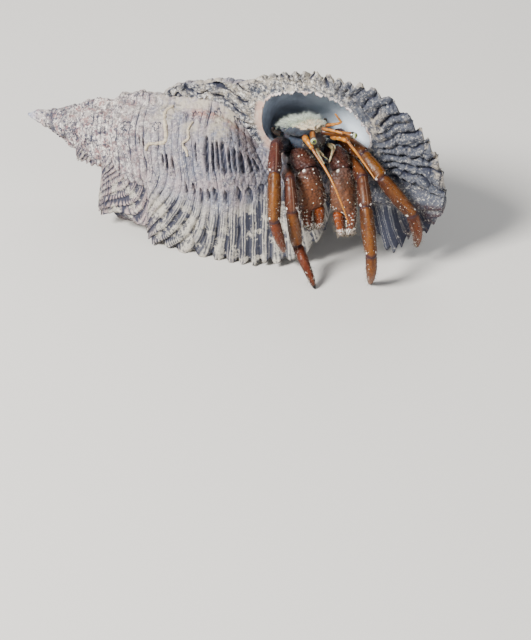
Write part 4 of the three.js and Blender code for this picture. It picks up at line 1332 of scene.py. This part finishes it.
def build_shield(materials):
    half = SHIELD_LENGTH / 2
    size = (SHIELD_HALF_WIDTH, SHIELD_HALF_DEPTH)
    shield = body_limb((-half, 0, 1.4), (half, 0, 1.4), *size, SHIELD_OUTLINE, 120, 120)
    x, up = np.cos(shield.A), np.sin(shield.A)
    square = np.abs(x) ** SHIELD_SQUARENESS + np.abs(up) ** SHIELD_SQUARENESS
    middle = shield.middle[:, None, :]
    shield.grid = middle + (shield.grid - middle) * (square ** (-1 / SHIELD_SQUARENESS))[..., None]
    upper = smooth(up, 0.0, 0.4)
    grooves = 0.3 * bump(shield.S - 0.12 * x * x, 0.3, 0.035) * upper + 0.16 * bump(x, 0, 0.06) * upper
    lines = bump(np.abs(x), 0.55 - 0.25 * (shield.S - 0.5), 0.05) * smooth(shield.S, 0.3, 0.5)
    grooves = grooves + 0.24 * lines
    rostrum = 0.5 * bump(x, 0, 0.16) + 0.35 * bump(np.abs(x), 0.62, 0.12)
    front = smooth(shield.S, 0.86, 0.99) * upper
    shield.grid = shield.grid + (front * rostrum)[..., None] * forward
    folds = np.sin(shield.S * 46 + 3 * noise(shield.grid, 1.5, 303))
    shield.swell(0.16 * rough(shield.grid, 1.5, 4, 300) + 0.05 * folds * upper - grooves)
    shield.granules(26, 30, 0.15, 0.1, 301, 0.5, 0.3)
    shield.granules(60, 34, 0.2, 0.22, 304, 0.5, 0.6, shield_front)
    ragged = 0.25 * rough(shield.grid, 1.2, 3, 305)
    flank = smooth(0.78 - up + ragged, 0, 0.2) * smooth(x, 0.1, 0.35)
    low_rear = smooth(0.45 - up + ragged, 0, 0.2) * (1 - smooth(shield.S, 0.72, 0.9))
    shield.masks["dusk"] = np.maximum(flank, low_rear)
    shield.masks["stripe"] = smooth(shield.S + ragged, 0.56, 0.72)
    shield.hairs("setae_body", 2600, 302, 0.55, lean=0.2, thick=0.026, where=shield_top)
    shield.hairs("setae_body", 1500, 306, 1.5, lean=-0.35, high=0.62, thick=0.034, where=shield_upper)
    shield.build("shield_shape", ["shield"], "shield", materials["shield"])


def build_body(materials):
    build_shield(materials)
    body = materials["body"]
    chest = body_limb((-5.4, 0.4, -1.9), (4.4, 0.4, -1.7), 3.2, 1.8, CHEST_OUTLINE, 90, 90)
    seams = bump(np.sin(6 * chest.S + chest.A), 0.9, 0.12)
    chest.swell(0.05 * rough(chest.grid, 2.2, 3, 310) - 0.14 * seams)
    chest.masks["dusk"] += smooth(chest.S, 0.72, 0.95)
    chest.build("chest_shape", ["thorax"], "body", body)
    bases = body_limb((-1.6, -4.6, -4.6), (-1, 7, -5.2), 2.4, 1.7, LEG_BASES_OUTLINE, 70, 64)
    bases.swell(0.06 * rough(bases.grid, 1.6, 3, 311) + 0.12 * np.cos(bases.S * TAU * 4.5))
    bases.masks["dusk"] += 0.85
    bases.build("leg_bases_shape", [], "body", body)
    head = body_limb((2.2, 0.2, -1.2), (5.6, 0.3, -0.3), 2.5, 1.7, HEAD_OUTLINE, 48, 48)
    head.swell(0.12 * rough(head.grid, 1.1, 3, 312))
    head.masks["dusk"] += 1.0
    head.hairs("setae_body", 60, 313, 0.8, lean=1.0, low=0.3)
    head.build("head_shape", [], "body", body)


def smooth_path(path, steps):
    """Evenly spaced points on the round curve through the path, its direction at each, and its length."""
    p = np.asarray(path, float)
    p = np.vstack([2 * p[0] - p[1], p, 2 * p[-1] - p[-2]])
    t = np.linspace(0, len(p) - 3 - 1e-9, steps * 6)
    i = t.astype(int)
    f = (t - i)[:, None]
    a, b, c, d = p[i], p[i + 1], p[i + 2], p[i + 3]
    q = 0.5 * (2 * b + (c - a) * f + (2 * a - 5 * b + 4 * c - d) * f**2 + (3 * b - a - 3 * c + d) * f**3)
    run = np.concatenate([[0], np.cumsum(np.linalg.norm(np.diff(q, axis=0), axis=1))])
    even = np.linspace(0, run[-1], steps)
    q = np.stack([np.interp(even, run, q[:, k]) for k in range(3)], 1)
    return q, unit(np.gradient(q, axis=0)), run[-1]


def whip(path, radii, steps, rings_mm, sides=20, ring_depth=0.12):
    """A tapered tube along a path, with rings at a spacing; its masks follow its length."""
    q, ahead, length = smooth_path(path, steps)
    share = np.linspace(0, 1, steps)
    radius = np.interp(share, np.linspace(0, 1, len(radii)), radii)
    off_ring = off_whole(share * length / rings_mm)
    radius = radius * (1 - ring_depth * bump(off_ring, 0, 0.16))
    radius = radius * np.minimum(1, np.sqrt(np.minimum((1 - share) * length / radius[-1], 1)) * 0.9 + 0.1)
    side = unit(np.cross(ahead, [0.2, 0, 1.0]))
    top = np.cross(side, ahead)
    a = np.arange(sides) * TAU / sides
    ring = side[:, None, :] * np.cos(a)[None, :, None] + top[:, None, :] * np.sin(a)[None, :, None]
    grid = q[:, None, :] + ring * radius[:, None, None]
    fields = {"share": share, "band": bump(off_ring, 0, 0.2)}
    return grid, {key: np.repeat(values[:, None], sides, 1) for key, values in fields.items()}


ANTENNA_STEM = ((0.72, 0.62, 0.42), 50, 1.4)
# Radii along each feeler, how many rings of points it has and how far apart its own rings are.
FEELER_FORMS = {
    "antennule_right": ((0.36, 0.3, 0.26), 50, 1.6),
    "antennule_left": ((0.36, 0.3, 0.24, 0.18), 70, 1.5),
    "antenna_stem_right": ANTENNA_STEM,
    "antenna_stem_left": ANTENNA_STEM,
    "antenna_right": ((0.33, 0.25, 0.2, 0.13), 260, 0.42),
    "antenna_left": ((0.33, 0.25, 0.2, 0.13), 200, 0.42),
}
MOUTH_LEG_FORM = ((0.42, 0.34, 0.26, 0.16), 50, 1.3)
PALP_FORM = ((0.2, 0.16, 0.08), 36, 0.9)


def build_feelers(materials):
    for name, form in FEELER_FORMS.items():
        piece = grid_object(f"{name}_shape", *whip(FEELERS[name], *form))
        place(piece, [name], materials["feeler"])
    for side, sign in (("right", -1), ("left", 1)):
        name = f"mouth_leg_{side}"
        piece = grid_object(f"{name}_shape", *whip(FEELERS[name], *MOUTH_LEG_FORM))
        place(piece, [name], materials["palp"])
        for k in range(2):
            start = np.array(FEELERS[name][0]) + left * (0.5 - 0.5 * k) * sign - upward * 0.3 * k
            bend = start + forward * (1.9 - 0.2 * k) - upward * (0.3 + 0.6 * k)
            tip = start + forward * (2.4 - 0.3 * k) - upward * (1.3 + 0.9 * k)
            tip = tip - left * (0.7 + 0.4 * k) * sign
            piece = grid_object(f"palp_{side}_{k}", *whip([start, bend, tip], *PALP_FORM))
            place(piece, [], materials["palp"])


STALK_OUTLINE = [(0, 1.1), (0.12, 1), (0.5, 0.88), (0.9, 1.0), (1, 1.04), (1.05, 1.0)]
EYE_RINGS = 40
EYE_SIDES = 48


def build_eyes(materials):
    for name, base, tip in EYES:
        base, tip = np.array(base), np.array(tip)
        ahead = unit(tip - base)
        stalk = Limb(base, tip, UP, STALK_RADIUS, STALK_RADIUS, STALK_OUTLINE, 60, 40)
        stalk.swell(0.015 * rough(stalk.grid, 0.8, 2, 400))
        stalk.masks["dusk"] = smooth(1 - stalk.S, 0.75, 1.0) + 0.25 * bump(stalk.S, 1.0, 0.05)
        stalk.build(f"eyestalk_{name}_shape", [f"eyestalk_{name}"], "stalk", materials["stalk"])
        front = tip + ahead * GAP * 0.4
        side = unit(np.cross(ahead, UP))
        top = np.cross(side, ahead)
        polar = np.linspace(0.0, 1, EYE_RINGS) * math.pi / 2
        radius = CORNEA_RADIUS * np.cos(polar) ** 0.8 + 0.003
        a = np.arange(EYE_SIDES) * TAU / EYE_SIDES
        ring = side[None, :] * np.cos(a)[:, None] + top[None, :] * np.sin(a)[:, None]
        middle = front[None, :] + ahead[None, :] * (np.sin(polar) * (CORNEA_LENGTH + GAP * 0.5))[:, None]
        grid = middle[:, None, :] + ring[None, :, :] * radius[:, None, None]
        from_tip = np.repeat((radius / CORNEA_RADIUS)[:, None], EYE_SIDES, 1)
        eye = grid_object(f"eye_{name}_shape", grid, {"polar": from_tip})
        place(eye, [f"eye_{name}"], materials["eye"])


def abdomen_point(angle):
    """A place on the abdomen's middle line, which winds up in the shell's hollow."""
    share = (angle - ABDOMEN_START) / (ABDOMEN_END - ABDOMEN_START)
    settled = min(share * 3, 1)
    size = float(growth(angle))
    return shell_point((64.5 + 2.5 * settled) * size, (9.2 + 2.4 * settled) * size, angle).reshape(3)


def build_rear(materials):
    path = [abdomen_point(a) for a in np.linspace(ABDOMEN_START, ABDOMEN_END, 9)]
    path[0] = path[0] - shell_up * 2.2
    path[1] = path[1] - shell_up * 1.2
    radii = [ABDOMEN_RADIUS * share for share in ABDOMEN_SHARES]
    grid, masks = whip(path, radii, 150, 2.6, 64, 0.05)
    wrinkle = 0.12 * rough(grid, 1.3, 3, 500)
    grid = grid + unit(grid - grid.mean(1, keepdims=True)) * wrinkle[..., None]
    place(grid_object("abdomen_shape", grid, masks), ["abdomen"], materials["soft"])
    path = [abdomen_point(a) for a in np.linspace(ABDOMEN_END + 4, ABDOMEN_END + TAIL_TURN, 5)]
    tail = grid_object("tail_shape", *whip(path, TAIL_RADII, 60, 1.8, 40))
    place(tail, ["tail"], materials["feeler"])
    for name, route in BRACES.items():
        path = [on_body(*stop) for stop in route]
        brace = grid_object(f"{name}_shape", *whip(path, BRACE_RADII, 48, 1.5, 28))
        place(brace, [name], materials["brace"])


# ---------------------------------------------------------------- crab: materials

SLATE = (0.035, 0.042, 0.058)
JOINT_DARK = (0.05, 0.018, 0.015)
STRIPE = (0.5, 0.33, 0.24)
WHITE_TIP = (0.8, 0.76, 0.68)
BLACK_TIP = (0.008, 0.007, 0.008)
# Orange, red and dusky color, roughness, coat and how mottled the hard pieces are.
HARD_FINISHES = {
    "leg": ((0.2, 0.067, 0.004), (0.145, 0.021, 0.002), (0.05, 0.018, 0.02), 0.42, 0.07, 0.55),
    "claw": ((0.135, 0.041, 0.012), (0.18, 0.031, 0.006), (0.035, 0.012, 0.014), 0.5, 0.05, 0.95),
    "finger": ((0.27, 0.07, 0.006), (0.28, 0.055, 0.004), (0.1, 0.03, 0.03), 0.42, 0.07, 0.55),
    "stalk": ((0.42, 0.15, 0.015), (0.3, 0.08, 0.01), (0.03, 0.012, 0.01), 0.4, 0.2, 0.55),
}


def hard_material(name, orange, red, dusk, roughness, coat, mottled):
    """The horny skin: orange to red to dusky purple, dark at joints, with white and black points, and
    painted shade along its sides.
    """
    n = Nodes(name, roughness, coat=coat, subsurface=0.1, specular=0.28)
    reddened = n.math("ADD", n.field("red"), n.blots(0.9, 4, 0.65, 0.45, 0.75, -0.1, 0.35))
    color = n.mix(orange, red, reddened)
    # Darker sides and streaks from the edge mask: the sides are painted shade.
    color = n.mix(color, n.mix(color, (0.3, 0.24, 0.24), 1.0, "MULTIPLY"), n.field("edge"))
    color = n.mix(color, dusk, n.field("dusk"))
    color = n.coats(color, (SLATE, n.field("slate"), 0.85))
    shade = n.mix(color, (0.35, 0.3, 0.3), 1.0, "MULTIPLY")
    color = n.blend(color, shade, 0.45, 4, 0.75, 0.48, 0.62, 0, mottled)
    color = n.coats(
        color,
        (JOINT_DARK, n.field("joint"), n.blots(0.8, 4, 0.7, 0.4, 0.6, 0.35, 0.85)),
        (STRIPE, n.field("stripe"), 0.6),
    )
    color = n.mix(color, WHITE_TIP, n.ramp(n.field("white"), 0.35, 0.75))
    color = n.mix(color, BLACK_TIP, n.field("black"))
    return n.finish(color, n.noise(0.22, 3), 0.03)


def shield_material():
    n = Nodes("shield_finish", 0.75, sheen=0.08, subsurface=0.1)
    color = n.blend((0.28, 0.34, 0.22), (0.56, 0.58, 0.42), 1.6, 5, 0.65, 0.42, 0.6)
    color = n.blend(color, (0.13, 0.14, 0.1), 0.5, 4, 0.7, 0.52, 0.66)
    sandy = n.blend((0.6, 0.48, 0.32), (0.07, 0.055, 0.045), 0.6, 5, 0.8, 0.5, 0.6)
    color = n.mix(color, sandy, n.field("stripe"))
    color = n.mix(color, (0.7, 0.66, 0.55), n.ramp(n.field("white"), 0.3, 0.8))
    blue = n.blend((0.012, 0.018, 0.03), (0.034, 0.044, 0.062), 1.4, 5, 0.7, 0.42, 0.6)
    return n.finish(n.mix(color, blue, n.field("dusk")), n.noise(0.3, 4), 0.06)


def body_material():
    n = Nodes("flank_finish", 0.42, coat=0.2, subsurface=0.1)
    color = n.blend((0.03, 0.04, 0.06), (0.06, 0.072, 0.095), 1.6, 4, 0.6, 0.4, 0.7)
    color = n.mix(color, (0.03, 0.022, 0.022), n.field("dusk"))
    color = n.blend(color, (0.25, 0.22, 0.18), 0.4, 3, 0.6, 0.62, 0.8, 0, 0.5)
    return n.finish(color, n.noise(0.3, 3), 0.04)


def feeler_material():
    n = Nodes("feeler_finish", 0.35, coat=0.3, subsurface=0.2)
    color = n.mix((0.2, 0.07, 0.02), (0.46, 0.18, 0.016), n.ramp(n.field("share"), 0.0, 0.3))
    color = n.coats(color, ((0.2, 0.05, 0.012), n.field("band"), 0.6))
    color = n.blend(color, (0.75, 0.4, 0.1), 0.5, 2, 0.6, 0.55, 0.7, 0, 0.5)
    return n.finish(color, n.noise(0.2, 2), 0.02)


def brace_material():
    # Near-black, painted shade: the short fourth legs read as the shade they sit in.
    n = Nodes("brace_painted_shade_finish", 0.6, specular=0.12)
    color = n.blend((0.022, 0.015, 0.011), (0.01, 0.009, 0.009), 0.8, 4, 0.6, 0.4, 0.65)
    return n.finish(n.coats(color, ((0.035, 0.025, 0.02), n.field("band"), 0.6)), n.noise(0.3, 3), 0.03)


def palp_material():
    n = Nodes("palp_finish", 0.5, subsurface=0.3)
    color = n.mix((0.3, 0.25, 0.13), (0.66, 0.6, 0.36), n.field("share"))
    return n.finish(n.coats(color, ((0.25, 0.16, 0.08), n.field("band"), 0.5)), n.noise(0.3, 2), 0.02)


def soft_material():
    n = Nodes("soft_finish", 0.5, coat=0.15, subsurface=0.3)
    color = n.blend((0.1, 0.085, 0.075), (0.055, 0.05, 0.055), 2.0, 4, 0.6, 0.4, 0.7)
    return n.finish(n.coats(color, ((0.2, 0.1, 0.08), n.field("band"), 0.4)), n.noise(0.5, 3), 0.05)


def eye_material():
    """A black cornea with a green ring, a pale one inside it and a dark edge, by distance from its tip."""
    n = Nodes("eye_finish", 0.08, coat=1.0)
    polar = n.field("polar")
    color = n.mix((0.006, 0.008, 0.007), (0.2, 0.25, 0.03), n.ramp(polar, 0.36, 0.46))
    color = n.mix(color, (0.55, 0.6, 0.42), n.ramp(polar, 0.64, 0.74))
    color = n.mix(color, (0.03, 0.02, 0.012), n.ramp(polar, 0.86, 0.93))
    return n.finish(n.blend(color, (0.02, 0.03, 0.02), 0.12, 1, 0.6, 0.55, 0.65, 0, 0.35))


def hair_material(name, roughness, sheen, root, tip, low, high):
    n = Nodes(name, roughness, sheen=sheen)
    return n.finish(n.mix(root, tip, n.ramp(n.field("tip"), low, high)))


def make_materials():
    m = {key: hard_material(f"{key}_finish", *form) for key, form in HARD_FINISHES.items()}
    m["shield"] = shield_material()
    m["body"] = body_material()
    m["feeler"] = feeler_material()
    m["brace"] = brace_material()
    m["palp"] = palp_material()
    m["soft"] = soft_material()
    m["eye"] = eye_material()
    m["setae"] = hair_material("setae_finish", 0.5, 0.3, (0.08, 0.035, 0.02), (0.36, 0.29, 0.2), 0.1, 0.9)
    m["fuzz"] = hair_material("fuzz_finish", 0.7, 0.5, (0.3, 0.35, 0.24), (0.7, 0.78, 0.66), 0.0, 0.6)
    return m


LEG_SEED = 1000
CLAW_SEED = 2000
SEED_STEP = 100


def build_crab():
    """Every piece of the crab; the hairs, which the other pieces root, come last."""
    materials = make_materials()
    plugs = []
    build_body(materials)
    for k, leg in enumerate(LEGS):
        build_leg(leg, materials, plugs, LEG_SEED + SEED_STEP * k)
    for k, claw in enumerate(CLAWS):
        build_claw(claw, materials, plugs, CLAW_SEED + SEED_STEP * k)
    for k, plug in enumerate(plugs):
        plug.masks["dusk"][:] = 1.0
        plug.build(f"joint_skin_{k}", [], "leg", materials["leg"])
    build_eyes(materials)
    build_feelers(materials)
    build_rear(materials)
    build_hairs("setae_legs", materials["setae"])
    build_hairs("setae_claws", materials["setae"])
    build_hairs("setae_body", materials["fuzz"])


# ---------------------------------------------------------------- stage

CAMERA_TARGET = np.array([5.3, -40.9, 0.0])
CAMERA_DISTANCE = 400.0
CAMERA_LENS = 112.5
SENSOR_WIDTH = 36.0
CLIP_START = 0.01
FLOOR_HALF_SIDE = 1.5
FLOOR_COLOR = (0.72, 0.7, 0.66)
LIGHT_TARGET = (0, 0, 0.01)
# Name, place in metres, size, power and color.
LIGHTS = [
    ("key", (-0.44, -0.34, 0.5), 0.22, 13.5, (1.0, 0.98, 0.95)),
    ("fill", (0.5, -0.5, 0.35), 0.5, 1.2, (0.9, 0.95, 1.0)),
    ("back", (0.1, 0.6, 0.5), 0.5, 2.5, (1, 1, 1)),
]
SKY_COLOR = (0.9, 0.93, 1.0, 1)
SKY_STRENGTH = 0.28


def area_light(name, position, size, power, color):
    data = bpy.data.lights.new(name, "AREA")
    data.energy = power
    data.size = size
    data.color = color
    light = bpy.data.objects.new(name, data)
    light.location = position
    light.rotation_euler = (Vector(LIGHT_TARGET) - Vector(position)).to_track_quat("-Z", "Y").to_euler()
    bpy.context.scene.collection.objects.link(light)


def build_camera():
    """A camera at the photo's height and distance, straight in front."""
    data = bpy.data.cameras.new("camera")
    data.sensor_fit = "AUTO"
    data.sensor_width = SENSOR_WIDTH
    data.lens = CAMERA_LENS
    data.clip_start = CLIP_START
    camera = bpy.data.objects.new("camera", data)
    camera.location = (CAMERA_TARGET + CAMERA_DISTANCE * VIEWER - ORIGIN) * MM
    camera.rotation_euler = (math.radians(90 - CAMERA_ELEVATION), 0, 0)
    bpy.context.scene.collection.objects.link(camera)
    bpy.context.scene.camera = camera


def build_stage():
    corners = np.array([(-1, -1, 0), (1, -1, 0), (1, 1, 0), (-1, 1, 0)]) * FLOOR_HALF_SIDE
    floor = new_object("floor", corners / MM + ORIGIN, [[0, 1, 2, 3]])
    floor.data.materials.append(Nodes("floor_finish", roughness=0.9).finish(FLOOR_COLOR))
    for light in LIGHTS:
        area_light(*light)
    world = bpy.data.worlds.new("studio")
    world.use_nodes = True
    background = world.node_tree.nodes["Background"]
    background.inputs["Color"].default_value = SKY_COLOR
    background.inputs["Strength"].default_value = SKY_STRENGTH
    bpy.context.scene.world = world
    build_camera()


build_stage()
build_shell()
build_tubes()
build_crab()
